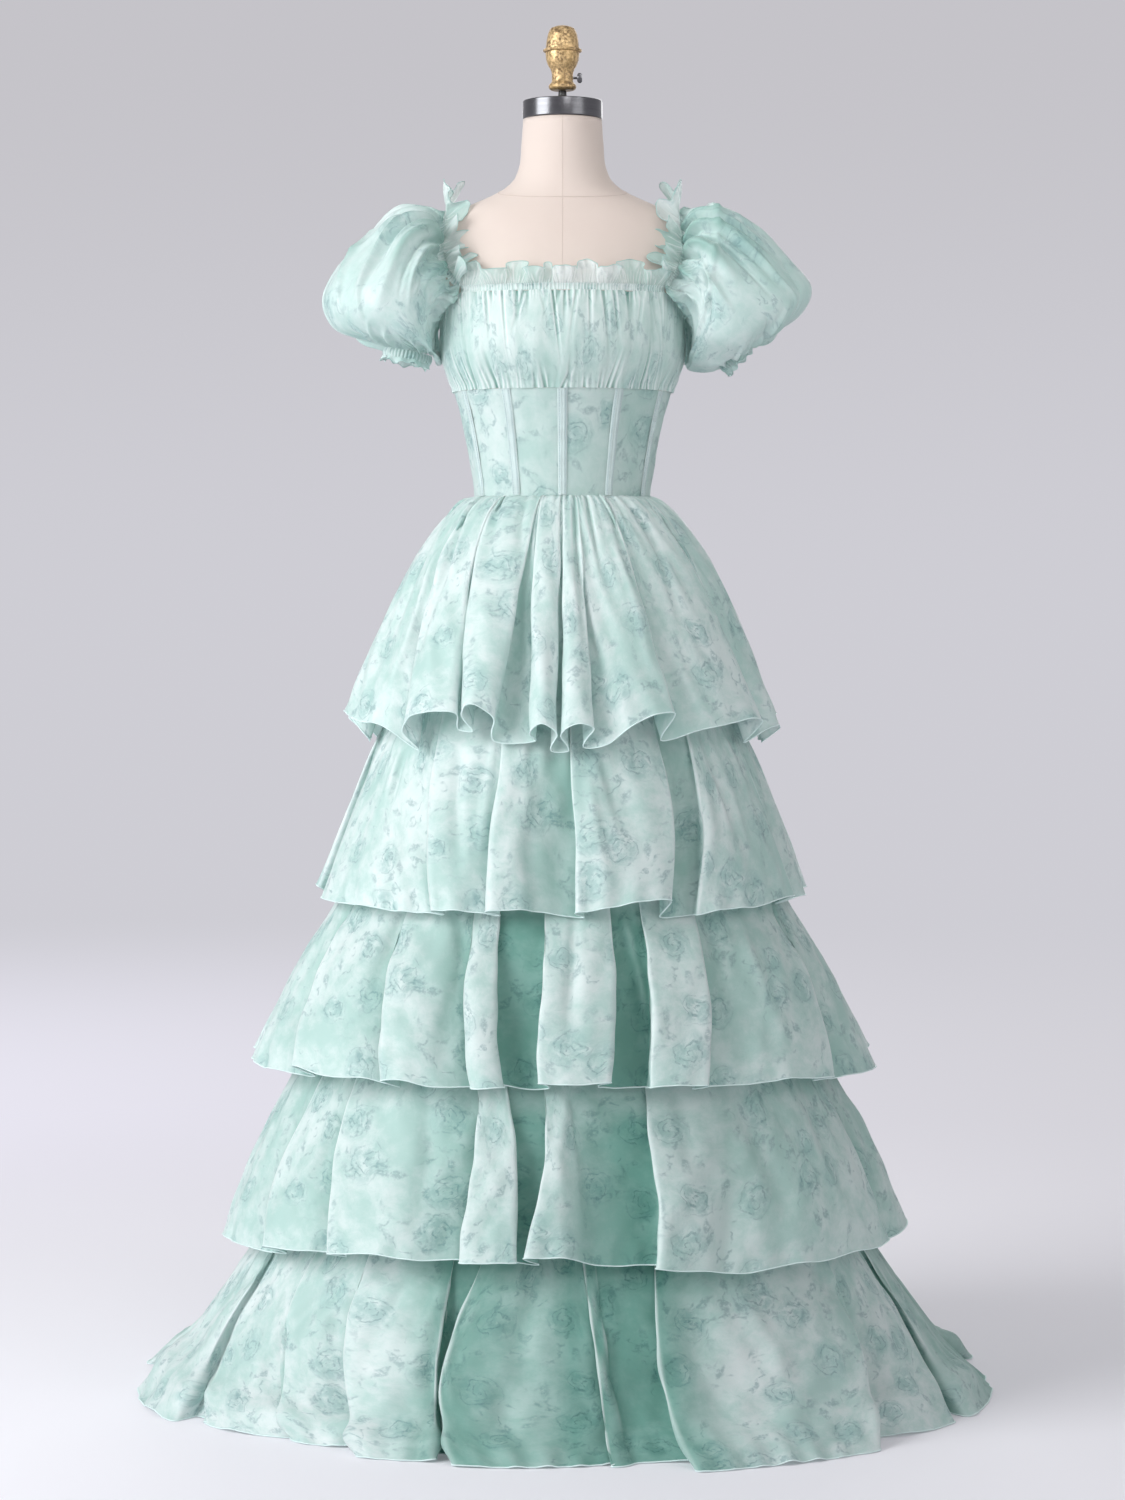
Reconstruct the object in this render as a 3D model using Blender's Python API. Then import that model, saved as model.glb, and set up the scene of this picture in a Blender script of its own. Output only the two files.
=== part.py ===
"""Tiered prom dress with puff sleeves on a dress form, in metres.

+Z is up and the dress faces -Y.  The origin is on the floor, on the axis of the form's pole.
Angles run round that axis in degrees: 0 is centre front, 90 is the wearer's left side (+X)
and 180 is centre back.  Every piece of cloth is a sheet of points, worked out from named
sizes, that a Solidify modifier turns into a wall.
"""

import math

import bmesh
import bpy
from mathutils import Vector

# ---------------------------------------------------------------- driving sizes

CLOTH = 0.0015  # wall of one layer of organza on its lining
FRILL_CLOTH = 0.0010
SEAM_GAP = 0.0003
FORM_CLEARANCE = 0.004  # between the dress form and the cloth round it

WAIST_Z = 1.130
UNDERBUST_Z = 1.262
NECKLINE_Z = 1.386  # top edge of the bust, at centre front
UNDERARM_Z = 1.352
BACK_NECK_Z = 1.402
BODICE_OUT = 0.0012  # middle of the bodice wall, out from the figure
BUST_OUT = 0.0030  # middle of the bust at its seams, which lie over the midriff's
BUST_BLOUSE = 0.0055  # how far the front of the bust blouses out between its seams
BACK_BLOUSE = 0.0030
BUST_GATHER = 0.0009  # ridge above and furrow below the bust's form
BACK_GATHER = 0.0006

CASING_HEIGHT = 0.009
CASING_THICK = 0.0030
CASING_OUT = 0.0046  # middle of the neckline casing, out from the figure
FRILL_LEAN = 0.12
FRILL_HEIGHT = 0.018
SHOULDER_FRILL_HEIGHT = 0.023
FRILL_WAVE = 0.0050
SHOULDER_WAVE = 0.0040

BONE_WIDTH = 0.011
BONE_THICK = 0.0010
BONE_GAP = 0.0007  # between a boning channel and the panels under it
WAIST_RADIUS = 0.105  # mean radii that turn widths into angles
MIDRIFF_RADIUS = 0.115
BACK_RADIUS = 0.090
CORNER_ANGLE = 52  # where the square neckline turns up into the sleeve
BACK_CORNER_ANGLE = 132

FLOOR_Z = 0.0012  # middle of cloth that lies on the floor

# The figure that the bodice is cut for, and that the form is built to.
FIGURE = (
    # height, half_width, front, back
    (0.870, 0.150, 0.104, 0.108),
    (0.900, 0.158, 0.110, 0.116),
    (0.950, 0.156, 0.110, 0.117),
    (1.000, 0.146, 0.106, 0.110),
    (1.050, 0.129, 0.099, 0.097),
    (1.095, 0.114, 0.092, 0.086),
    (1.130, 0.110, 0.090, 0.082),
    (1.180, 0.1165, 0.095, 0.084),
    (1.230, 0.1265, 0.104, 0.088),
    (1.270, 0.137, 0.117, 0.093),
    (1.310, 0.1475, 0.126, 0.097),
    (1.345, 0.1485, 0.123, 0.099),
    (1.385, 0.151, 0.112, 0.100),
    (1.420, 0.158, 0.100, 0.099),
    (1.450, 0.160, 0.088, 0.096),
    (1.475, 0.152, 0.078, 0.090),
    (1.485, 0.142, 0.073, 0.087),
    (1.494, 0.126, 0.068, 0.081),
    (1.503, 0.105, 0.063, 0.075),
    (1.514, 0.082, 0.059, 0.069),
    (1.526, 0.067, 0.057, 0.064),
    (1.540, 0.0600, 0.0550, 0.0600),
    (1.575, 0.0555, 0.0540, 0.0550),
    (1.6035, 0.0535, 0.0535, 0.0535),
)

# Outermost line of each skirt tier, down its length, and its folds.  A fold is a crest from
# one angle to another; between crests the cloth falls back by a share of its radius.  At the
# hem a fold reaches out by a share of its radius and is lifted from the tier's line.  gathered
# is how deep the folds already are at the tier's top, as a share of their depth at its hem.
TIERS = {
    "tier_1": {
        "sections": (
            # height, half_width, front, back
            (1.1285, 0.1200, 0.0980, 0.0915),
            (1.1180, 0.1350, 0.1090, 0.1050),
            (1.0700, 0.1740, 0.1420, 0.1440),
            (0.9700, 0.2250, 0.1840, 0.1930),
            (0.8500, 0.2720, 0.2280, 0.2430),
        ),
        "hem_drop": 0.026,
        "gathered": 0.25,
        "folds": (
            # from_angle, to_angle, depth_share, reach, lift
            (-82, -52, 0.10, 0.01, 0.000),
            (-46, -31, 0.13, 0.00, 0.009),
            (-28, -19, 0.14, 0.00, 0.014),
            (-9, -2, 0.12, 0.00, -0.010),
            (1.5, 8, 0.12, 0.02, 0.000),
            (11, 28, 0.12, 0.01, -0.005),
            (32, 44, 0.11, 0.00, -0.002),
            (48, 62, 0.10, 0.00, -0.006),
            (67, 83, 0.08, 0.01, 0.003),
            (99, 118, 0.12, 0.00, -0.004),
            (127, 145, 0.13, 0.00, 0.006),
            (154, 171, 0.13, 0.00, -0.006),
            (180, 198, 0.13, 0.01, 0.004),
            (207, 226, 0.13, 0.00, -0.003),
            (236, 257, 0.12, 0.00, 0.006),
        ),
    },
    "tier_2": {
        "sections": (
            (0.9050, 0.1960, 0.1600, 0.1700),
            (0.8500, 0.2240, 0.1760, 0.1920),
            (0.7450, 0.2690, 0.2150, 0.2360),
            (0.6350, 0.3080, 0.2540, 0.2800),
        ),
        "hem_drop": 0.010,
        "gathered": 0.0,
        "folds": (
            (-84, -53, 0.04, 0.00, -0.003),
            (-48, -33, 0.07, 0.00, -0.003),
            (-30, -18, 0.08, 0.00, 0.002),
            (-15, -5, 0.11, 0.00, 0.000),
            (2, 25, 0.11, 0.01, 0.006),
            (31, 47, 0.08, 0.00, -0.004),
            (51, 63, 0.06, 0.00, 0.000),
            (67, 84, 0.04, 0.00, 0.000),
            (97, 119, 0.05, 0.00, 0.003),
            (127, 147, 0.08, 0.00, -0.004),
            (156, 176, 0.08, 0.01, 0.004),
            (185, 205, 0.08, 0.00, 0.000),
            (214, 233, 0.08, 0.00, -0.004),
            (242, 262, 0.05, 0.00, 0.003),
        ),
    },
    "tier_3": {
        "sections": (
            (0.6950, 0.2450, 0.1990, 0.2230),
            (0.6250, 0.2850, 0.2200, 0.2480),
            (0.5500, 0.3330, 0.2690, 0.3010),
            (0.4250, 0.3940, 0.3250, 0.3650),
        ),
        "hem_drop": 0.008,
        "gathered": 0.0,
        "folds": (
            (-83, -58, 0.06, 0.00, 0.000),
            (-55, -35, 0.09, 0.00, 0.002),
            (-31, -19, 0.09, 0.00, -0.003),
            (-16, -12, 0.10, 0.00, 0.000),
            (-3.5, 8.5, 0.11, 0.00, 0.006),
            (14, 25.5, 0.09, 0.00, 0.004),
            (29, 55, 0.08, 0.00, 0.000),
            (60, 82, 0.06, 0.02, -0.003),
            (95, 116, 0.07, 0.00, 0.003),
            (125, 146, 0.09, 0.00, -0.004),
            (155, 174, 0.09, 0.00, 0.003),
            (183, 203, 0.09, 0.00, -0.002),
            (212, 234, 0.09, 0.00, 0.005),
            (243, 264, 0.07, 0.01, -0.003),
        ),
    },
    "tier_4": {
        "sections": (
            (0.4750, 0.3000, 0.2430, 0.2800),
            (0.4200, 0.3340, 0.2720, 0.3080),
            (0.3150, 0.3900, 0.3190, 0.3660),
            (0.2050, 0.4300, 0.3600, 0.4200),
        ),
        "hem_drop": 0.010,
        "gathered": 0.0,
        "folds": (
            (-84, -60, 0.05, 0.00, -0.003),
            (-56, -43, 0.07, 0.00, 0.006),
            (-39, -19, 0.07, 0.00, 0.014),
            (-16, -8, 0.08, 0.00, 0.016),
            (-5, 3, 0.08, -0.01, 0.016),
            (13.5, 28, 0.08, 0.01, 0.006),
            (33, 62, 0.06, 0.00, -0.004),
            (67, 84, 0.05, 0.02, 0.004),
            (95, 118, 0.06, 0.01, 0.004),
            (127, 148, 0.07, 0.00, -0.004),
            (157, 178, 0.07, 0.01, 0.003),
            (187, 209, 0.07, 0.00, 0.000),
            (218, 240, 0.07, 0.00, -0.004),
            (249, 268, 0.06, 0.00, 0.003),
        ),
    },
    "tier_5": {
        "sections": (
            (0.2550, 0.3460, 0.2860, 0.3370),
            (0.2050, 0.3800, 0.3080, 0.3640),
            (0.1150, 0.4450, 0.3650, 0.4450),
            (0.0400, 0.5050, 0.4150, 0.5500),
            (FLOOR_Z, 0.5500, 0.4580, 0.6600),
        ),
        "hem_drop": 0.0,
        "gathered": 0.0,
        "folds": (
            (-87, -64, 0.06, -0.03, 0.0),
            (-60, -46, 0.07, -0.10, 0.0),
            (-42, -32, 0.07, -0.13, 0.0),
            (-28, -18, 0.08, -0.07, 0.0),
            (-11, 3, 0.08, -0.04, 0.0),
            (7, 11, 0.08, -0.06, 0.0),
            (14.5, 44, 0.07, 0.03, 0.0),
            (50, 65, 0.07, -0.03, 0.0),
            (71, 86, 0.06, -0.03, 0.0),
            (94, 115, 0.06, 0.02, 0.0),
            (124, 145, 0.07, 0.00, 0.0),
            (154, 175, 0.07, 0.03, 0.0),
            (184, 205, 0.07, -0.02, 0.0),
            (214, 236, 0.07, 0.02, 0.0),
            (245, 266, 0.06, 0.01, 0.0),
        ),
    },
}
FOLD_WALL = 2.0  # degrees from a crest's edge to the bottom of the fall beside it
LONG_SPAN = 15.0  # a crest wider than this gets a column in its middle
EDGE_FALL = 0.12  # a crest's edges lie this share of the fold's depth below its middle
FULL_FALL = 0.10  # a fall this deep hangs the whole hem_drop lower
SIDE_SEAM_ANGLE = 0.1  # from the side seam to either panel, in degrees

UNDERSKIRT = (
    # height, half_width, front, back
    (1.1200, 0.1125, 0.0915, 0.0845),
    (1.0000, 0.1500, 0.1140, 0.1180),
    (0.9050, 0.1860, 0.1500, 0.1600),
    (0.4750, 0.2890, 0.2330, 0.2700),
    (0.2550, 0.3340, 0.2730, 0.3230),
    (0.0700, 0.3560, 0.2920, 0.3450),
)

# Neck edge of a sleeve, from the front corner of the neckline over the shoulder to the back
# corner, with the way its frill leans.
SHOULDER_LINE = (
    # x, y, z, lean_x, lean_y, lean_z
    (0.1285, -0.0700, 1.3890, -0.30, -0.35, 0.90),
    (0.1440, -0.0600, 1.4100, -0.75, -0.45, 0.45),
    (0.1510, -0.0480, 1.4300, -0.85, -0.40, 0.35),
    (0.1500, -0.0370, 1.4580, -0.65, -0.35, 0.68),
    (0.1480, -0.0185, 1.4830, -0.45, -0.10, 0.90),
    (0.1465, 0.0020, 1.4930, -0.25, 0.00, 0.97),
    (0.1475, 0.0225, 1.4870, -0.40, 0.10, 0.90),
    (0.1485, 0.0425, 1.4660, -0.60, 0.35, 0.70),
    (0.1440, 0.0620, 1.4380, -0.60, 0.45, 0.65),
    (0.1340, 0.0730, 1.4180, -0.35, 0.40, 0.85),
    (0.1240, 0.0785, 1.4060, -0.10, 0.30, 0.95),
)
# The rest of the armhole, under the arm from front to back.
UNDERARM_LINE = (
    # x, y, z
    (0.1430, -0.0730, 1.3760),
    (0.1560, -0.0560, 1.3600),
    (0.1620, -0.0300, 1.3500),
    (0.1630, 0.0000, 1.3470),
    (0.1620, 0.0280, 1.3520),
    (0.1560, 0.0560, 1.3660),
    (0.1395, 0.0760, 1.3900),
)

# Rings of each puff sleeve between its armhole and its cuff.  Outer and inner are the ends of
# a ring in the front view, half_depth is its reach towards front and back.
SLEEVES = {
    "left": (
        # outer_x, outer_z, inner_x, inner_z, half_depth
        (0.1720, 1.4955, 0.1640, 1.3290, 0.0960),
        (0.2060, 1.4960, 0.1600, 1.3060, 0.1090),
        (0.2500, 1.4700, 0.1600, 1.2920, 0.1140),
        (0.2880, 1.4300, 0.1750, 1.2860, 0.1110),
        (0.3160, 1.3920, 0.1880, 1.2860, 0.0980),
        (0.3020, 1.3580, 0.1940, 1.2880, 0.0730),
        (0.2330, 1.3340, 0.1970, 1.2960, 0.0370),
    ),
    "right": (
        (0.1720, 1.4920, 0.1640, 1.3270, 0.0960),
        (0.2080, 1.4930, 0.1600, 1.3060, 0.1090),
        (0.2500, 1.4560, 0.1580, 1.3000, 0.1130),
        (0.2840, 1.4220, 0.1570, 1.3020, 0.1110),
        (0.3040, 1.3810, 0.1570, 1.3060, 0.1000),
        (0.2920, 1.3440, 0.1580, 1.3110, 0.0760),
        (0.2230, 1.3210, 0.1650, 1.3090, 0.0370),
    ),
}
SLEEVE_COLUMNS = 20
SHOULDER_COLUMNS = 13  # of them, on the shoulder line
SLEEVE_FOLD = 0.0035  # ridge above and furrow below the sleeve's form
CUFF_COLUMNS = 12
CUFF_FRILL_HEIGHT = 0.006

# Turned pieces of the form, as radius and height down their outer side.
NECK_CAP = ((0.0, 1.6270), (0.0485, 1.6270), (0.0500, 1.6255), (0.0500, 1.6042), (0.0, 1.6042))
FLANGE = (
    (0.0, 1.6400),
    (0.0050, 1.6400),
    (0.0055, 1.6330),
    (0.0120, 1.6312),
    (0.0168, 1.6273),
    (0.0, 1.6273),
)
KNOB = (
    (0.0, 1.7210),
    (0.0070, 1.7205),
    (0.0135, 1.7180),
    (0.0178, 1.7120),
    (0.0202, 1.7020),
    (0.0212, 1.6930),
    (0.0212, 1.6870),
    (0.0205, 1.6780),
    (0.0180, 1.6710),
    (0.0145, 1.6660),
    (0.0132, 1.6610),
    (0.0132, 1.6510),
    (0.0150, 1.6480),
    (0.0174, 1.6450),
    (0.0174, 1.6425),
    (0.0140, 1.6403),
    (0.0, 1.6403),
)
KNOB_RING_RADIUS = 0.0232
KNOB_RING_THICK = 0.0017
KNOB_RING_Z = 1.6900
SCREW_Z = 1.6560
SCREW_RINGS = (
    # out from the pole's axis, half_thick, half_height
    (0.0135, 0.0016, 0.0016),
    (0.0182, 0.0016, 0.0016),
    (0.0186, 0.0012, 0.0042),
    (0.0200, 0.0010, 0.0062),
    (0.0228, 0.0010, 0.0064),
    (0.0246, 0.0009, 0.0044),
)
POLE = ((0.0, 0.8697), (0.0140, 0.8697), (0.0140, 0.0353), (0.0, 0.0353))
BASE = (
    (0.0, 0.0350),
    (0.0260, 0.0350),
    (0.0300, 0.0310),
    (0.0300, 0.0170),
    (0.1650, 0.0120),
    (0.1720, 0.0080),
    (0.1720, 0.0),
    (0.0, 0.0),
)

# The zip down the back of the bodice.
ZIP_WIDTH = 0.008
ZIP_TOP_Z = 1.390
ZIP_BOTTOM_Z = 1.137
ZIP_THICK = 0.0012
ZIP_OUT = 0.0036  # middle of the closed strip on the midriff, out from the figure
ZIP_STEP = 0.0055  # further out where it lies over the gathered back
ZIP_SLIDER = (0.0066, 0.0024, 0.0100)
ZIP_PULL_LENGTH = 0.026
ZIP_PULL_THICK = 0.0010
ZIP_PULL_HALF_WIDTH = (0.0012, 0.0034)  # at its top and at its foot
ZIP_PULL_PIVOT_Z = 1.384


# ---------------------------------------------------------------- small tools


def clear_scene():
    for old in list(bpy.data.objects):
        bpy.data.objects.remove(old)


def material(name, colour, roughness, metallic=0.0):
    made = bpy.data.materials.new(name)
    made.use_nodes = True
    shader = made.node_tree.nodes["Principled BSDF"]
    shader.inputs["Base Color"].default_value = (*colour, 1.0)
    shader.inputs["Roughness"].default_value = roughness
    shader.inputs["Metallic"].default_value = metallic
    return made


def at_height(rows, height):
    """The other columns of a table, read between its two rows nearest in height."""
    ordered = sorted(rows)
    height = min(max(height, ordered[0][0]), ordered[-1][0])
    for low, high in zip(ordered, ordered[1:]):
        if height <= high[0]:
            share = (height - low[0]) / (high[0] - low[0])
            return [a + (b - a) * share for a, b in zip(low[1:], high[1:])]
    return list(ordered[-1][1:])


def oval_point(angle, half_width, front, back, height, out=0.0):
    """A point on an egg-shaped section, moved outwards along its normal."""
    turn = math.radians(angle)
    depth = front if math.cos(turn) > 0 else back
    point = Vector((half_width * math.sin(turn), -depth * math.cos(turn), height))
    normal = Vector((math.sin(turn) / half_width, -math.cos(turn) / depth, 0.0))
    return point + normal.normalized() * out


def figure_point(angle, height, out):
    return oval_point(angle, *at_height(FIGURE, height), height, out)


def spread(start, end, count):
    """count evenly spaced values, both ends included."""
    return [start + (end - start) * i / (count - 1) for i in range(count)]


def link(name, mesh, finish):
    made = bpy.data.objects.new(name, mesh)
    mesh.materials.append(finish)
    mesh.shade_smooth()
    mesh.set_sharp_from_angle(angle=math.radians(50))
    bpy.context.scene.collection.objects.link(made)
    return made


def cloth_wall(name, grid, thickness, finish, closed=False):
    """A sheet through a grid of points, given wall thickness on both sides."""
    columns = len(grid[0])
    points = [p for row in grid for p in row]
    faces = []
    for r in range(len(grid) - 1):
        for c in range(columns if closed else columns - 1):
            beside = (c + 1) % columns
            here, below = r * columns, (r + 1) * columns
            faces.append((here + c, below + c, below + beside, here + beside))
    mesh = bpy.data.meshes.new(name)
    mesh.from_pydata(points, [], faces)
    made = link(name, mesh, finish)
    wall = made.modifiers.new("wall", "SOLIDIFY")
    wall.thickness = thickness
    wall.offset = 0.0
    return made


def mirrored(grid):
    return [[Vector((-p.x, p.y, p.z)) for p in reversed(row)] for row in grid]


def both_sides(name, grid, thickness, finish):
    cloth_wall(name + "_left", grid, thickness, finish)
    cloth_wall(name + "_right", mirrored(grid), thickness, finish)


def turned(name, profile, finish, steps=32):
    """A solid of revolution; the profile runs down its outer side from axis to axis."""
    mesh = bpy.data.meshes.new(name)
    points = [(radius, 0.0, height) for radius, height in profile]
    mesh.from_pydata(points, [(i, i + 1) for i in range(len(points) - 1)], [])
    made = link(name, mesh, finish)
    screw = made.modifiers.new("turn", "SCREW")
    screw.steps = steps
    screw.render_steps = steps
    screw.use_merge_vertices = True
    screw.merge_threshold = 1e-5
    screw.use_smooth_shade = True
    return made


def lofted(name, rings, finish):
    """A solid through closed rings of equal count, capped at both ends."""
    count = len(rings[0])
    points = [p for ring in rings for p in ring]
    faces = [tuple(range(count)), tuple(reversed(range(len(points) - count, len(points))))]
    for r in range(len(rings) - 1):
        for c in range(count):
            beside = (c + 1) % count
            here, above = r * count, (r + 1) * count
            faces.append((here + c, above + c, above + beside, here + beside))
    mesh = bpy.data.meshes.new(name)
    mesh.from_pydata(points, [], faces)
    shape = bmesh.new()
    shape.from_mesh(mesh)
    bmesh.ops.recalc_face_normals(shape, faces=shape.faces)
    shape.to_mesh(mesh)
    shape.free()
    return link(name, mesh, finish)


# ---------------------------------------------------------------- bodice


def neckline_height(angle):
    """Top edge of the bodice: square in front, dipping under the arm, level at the back."""
    turn = abs(angle)
    if turn <= CORNER_ANGLE:
        return NECKLINE_Z
    if turn >= BACK_CORNER_ANGLE:
        return BACK_NECK_Z
    if turn <= 90:
        share = (turn - CORNER_ANGLE) / (90 - CORNER_ANGLE)
        return NECKLINE_Z + (UNDERARM_Z - NECKLINE_Z) * math.sin(share * math.pi / 2)
    share = (turn - 90) / (BACK_CORNER_ANGLE - 90)
    return UNDERARM_Z + (BACK_NECK_Z - UNDERARM_Z) * share**1.5


def bust_grid(angles, rows, blouse, gather):
    """Cloth gathered on its top edge, blousing over the underbust seam."""
    grid = []
    for v in spread(0.0, 1.0, rows):
        fullness = blouse * math.sin(math.pi * min(1.0, 0.12 + 0.95 * v)) ** 0.6
        row = []
        for i, angle in enumerate(angles):
            top = neckline_height(angle) - CASING_HEIGHT / 2 - CLOTH
            height = top + (UNDERBUST_Z + SEAM_GAP - top) * v
            ridge = gather if i % 2 else -gather
            row.append(figure_point(angle, height, BUST_OUT + fullness + ridge))
        grid.append(row)
    return grid


def make_bust(finish):
    front = bust_grid(spread(-88, 88, 25), 5, BUST_BLOUSE, BUST_GATHER)
    cloth_wall("bust_front", front, CLOTH, finish)
    back = bust_grid(spread(88.4, 179.9, 8), 4, BACK_BLOUSE, BACK_GATHER)
    both_sides("bust_back", back, CLOTH, finish)


MIDRIFF_PANELS = (
    # name, from_angle, to_angle
    ("midriff_centre", 0, 31),
    ("midriff_side_front", 31, 64),
    ("midriff_side", 64, 108),
    ("midriff_back", 108, 180),
)
BONED_SEAMS = (
    # name, angle
    ("bone_centre", 0),
    ("bone_front_left", 31),
    ("bone_front_right", -31),
    ("bone_side_left", 64),
    ("bone_side_right", -64),
)


def midriff_grid(angles, rows=4, out=BODICE_OUT):
    heights = spread(UNDERBUST_Z - CLOTH / 2, WAIST_Z + SEAM_GAP, rows)
    return [[figure_point(angle, height, out) for angle in angles] for height in heights]


def make_midriff(finish, bone_finish):
    seam = math.degrees(SEAM_GAP / 2 / WAIST_RADIUS)
    for name, start, end in MIDRIFF_PANELS:
        count = 2 + round((end - start) / 12)
        angles = spread(start + seam, end - seam, count)
        both_sides(name, midriff_grid(angles), CLOTH, finish)
    # A boning channel is made from the panels' own points, moved out on to them.
    out = BODICE_OUT + CLOTH / 2 + BONE_GAP + BONE_THICK / 2
    for name, angle in BONED_SEAMS:
        half = math.degrees(BONE_WIDTH / 2 / MIDRIFF_RADIUS)
        grid = midriff_grid((angle - half, angle, angle + half), out=out)
        cloth_wall(name, grid, BONE_THICK, bone_finish)


# ---------------------------------------------------------------- frills and casings


def along(points, count):
    """count places evenly spaced along a line of points."""
    last = len(points) - 1
    places = []
    for place in spread(0.0, last, count):
        first = min(int(place), last - 1)
        places.append(points[first].lerp(points[first + 1], place - first))
    return places


def edge_path(start, end, count):
    """Points along the bodice's top edge between two angles, each with the frill's lean."""
    path = []
    for angle in spread(start, end, count):
        point = figure_point(angle, neckline_height(angle), CASING_OUT)
        away = Vector((point.x, point.y, 0.0)).normalized()
        path.append((point, (Vector((0, 0, 1)) + away * FRILL_LEAN).normalized()))
    return path


def shoulder_path(count):
    places = along([Vector(row[:3]) for row in SHOULDER_LINE], count)
    leans = along([Vector(row[3:]) for row in SHOULDER_LINE], count)
    return [(place, lean.normalized()) for place, lean in zip(places, leans)]


def casing_grid(path):
    """The gathered band that holds the elastic, centred on its path."""
    half = CASING_HEIGHT / 2
    return [[p + lean * step for p, lean in path] for step in (half, -half)]


def frill_grid(path, height, wave):
    """A strip that stands on a casing, its free edge thrown into waves four columns long."""
    foot = CASING_HEIGHT / 2 + 3 * SEAM_GAP
    last = len(path) - 1
    rows = []
    for level in (1.0, 0.0):
        row = []
        for i, (p, lean) in enumerate(path):
            run = (path[min(i + 1, last)][0] - path[max(i - 1, 0)][0]).normalized()
            out = lean.cross(run).normalized()
            throw = wave * math.sin(i * math.pi / 2 + 0.6) * (0.1 + 0.9 * level)
            row.append(p + lean * (foot + height * level) + out * throw)
        rows.append(row)
    return rows


def make_neck_edges(finish):
    corner = CORNER_ANGLE - 3.0
    front = edge_path(-corner, corner, 25)
    cloth_wall("neck_casing_front", casing_grid(front[::2]), CASING_THICK, finish)
    frill = frill_grid(front, FRILL_HEIGHT, FRILL_WAVE)
    cloth_wall("neck_frill_front", frill, FRILL_CLOTH, finish)
    back = edge_path(BACK_CORNER_ANGLE + 3, 179.7, 13)
    both_sides("neck_casing_back", casing_grid(back[::4]), CASING_THICK, finish)
    frill = frill_grid(back, FRILL_HEIGHT, FRILL_WAVE)
    both_sides("neck_frill_back", frill, FRILL_CLOTH, finish)
    shoulder = shoulder_path(17)
    both_sides("shoulder_casing", casing_grid(shoulder), CASING_THICK, finish)
    frill = frill_grid(shoulder, SHOULDER_FRILL_HEIGHT, SHOULDER_WAVE)
    both_sides("shoulder_frill", frill, FRILL_CLOTH, finish)


# ---------------------------------------------------------------- sleeves


def armhole_ring():
    """The sleeve's first ring: from the shoulder's top by the front, under the arm and back."""
    drop = CASING_HEIGHT / 2 + SEAM_GAP + 2 * CLOTH
    over = [p - lean * drop for p, lean in shoulder_path(SHOULDER_COLUMNS)]
    under = along([Vector(row) for row in UNDERARM_LINE], SLEEVE_COLUMNS - SHOULDER_COLUMNS)
    top = SHOULDER_COLUMNS // 2
    return over[top::-1] + under + over[:top:-1]


def sleeve_ring(row, columns, fold):
    """A ring that starts at its outer end and runs round by the front."""
    outer_x, outer_z, inner_x, inner_z, half_depth = row
    outer = Vector((outer_x, 0.0, outer_z))
    inner = Vector((inner_x, 0.0, inner_z))
    middle = (outer + inner) / 2
    reach = (outer - inner) / 2
    ring = []
    for i in range(columns):
        turn = 2 * math.pi * i / columns
        ridge = 1.0 + (fold if i % 2 else -fold) / half_depth
        point = middle + reach * math.cos(turn) * ridge
        point.y = -half_depth * math.sin(turn) * ridge
        ring.append(point)
    return ring


def cuff_grids(row):
    """Casing and tiny frill of a cuff, carried on from the sleeve's last ring."""
    ring = sleeve_ring(row, CUFF_COLUMNS, 0.0)
    centre = sum(ring, Vector()) / len(ring)
    way_out = (ring[3] - centre).cross(ring[0] - centre).normalized()
    if way_out.z > 0:
        way_out = -way_out
    near = 2 * CLOTH + SEAM_GAP
    far = near + CASING_HEIGHT
    band = [[p + way_out * step for p in ring] for step in (near, far)]
    edge = []
    for level in (0.0, 1.0):
        row = []
        for i, p in enumerate(ring):
            flare = 1.0 + level * (0.16 if i % 2 else 0.02)
            reach = far + 2 * SEAM_GAP + CUFF_FRILL_HEIGHT * level
            row.append(centre + (p - centre) * flare + way_out * reach)
        edge.append(row)
    return band, edge


def make_sleeves(finish):
    for side, rows in SLEEVES.items():
        grid = [armhole_ring()]
        for k, row in enumerate(rows):
            fold = SLEEVE_FOLD * math.sin(math.pi * (k + 1) / (len(rows) + 0.5))
            grid.append(sleeve_ring(row, SLEEVE_COLUMNS, fold))
        band, edge = cuff_grids(rows[-1])
        pieces = (
            (f"sleeve_{side}", grid, CLOTH),
            (f"cuff_casing_{side}", band, CASING_THICK),
            (f"cuff_frill_{side}", edge, FRILL_CLOTH),
        )
        for name, points, thickness in pieces:
            placed = points if side == "left" else mirrored(points)
            cloth_wall(name, placed, thickness, finish, closed=True)


# ---------------------------------------------------------------- skirt


def fold_columns(folds):
    """(angle, fall, reach, lift) round a tier; fall is 0 on a crest, the depth between two."""
    columns = []
    for i, (start, end, depth, reach, lift) in enumerate(folds):
        next_start, _, _, next_reach, next_lift = folds[(i + 1) % len(folds)]
        next_start += 360 if i + 1 == len(folds) else 0
        edge = EDGE_FALL * depth
        columns.append((start, edge, reach, lift))
        if end - start > LONG_SPAN:
            columns.append(((start + end) / 2, 0.0, reach, lift))
        columns.append((end, edge, reach, lift))
        low = (depth, (reach + next_reach) / 2, (lift + next_lift) / 2)
        if next_start - end <= 3 * FOLD_WALL:
            columns.append(((end + next_start) / 2, *low))
        else:
            columns.append((end + FOLD_WALL, *low))
            columns.append((next_start - FOLD_WALL, *low))
    return columns


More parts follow.
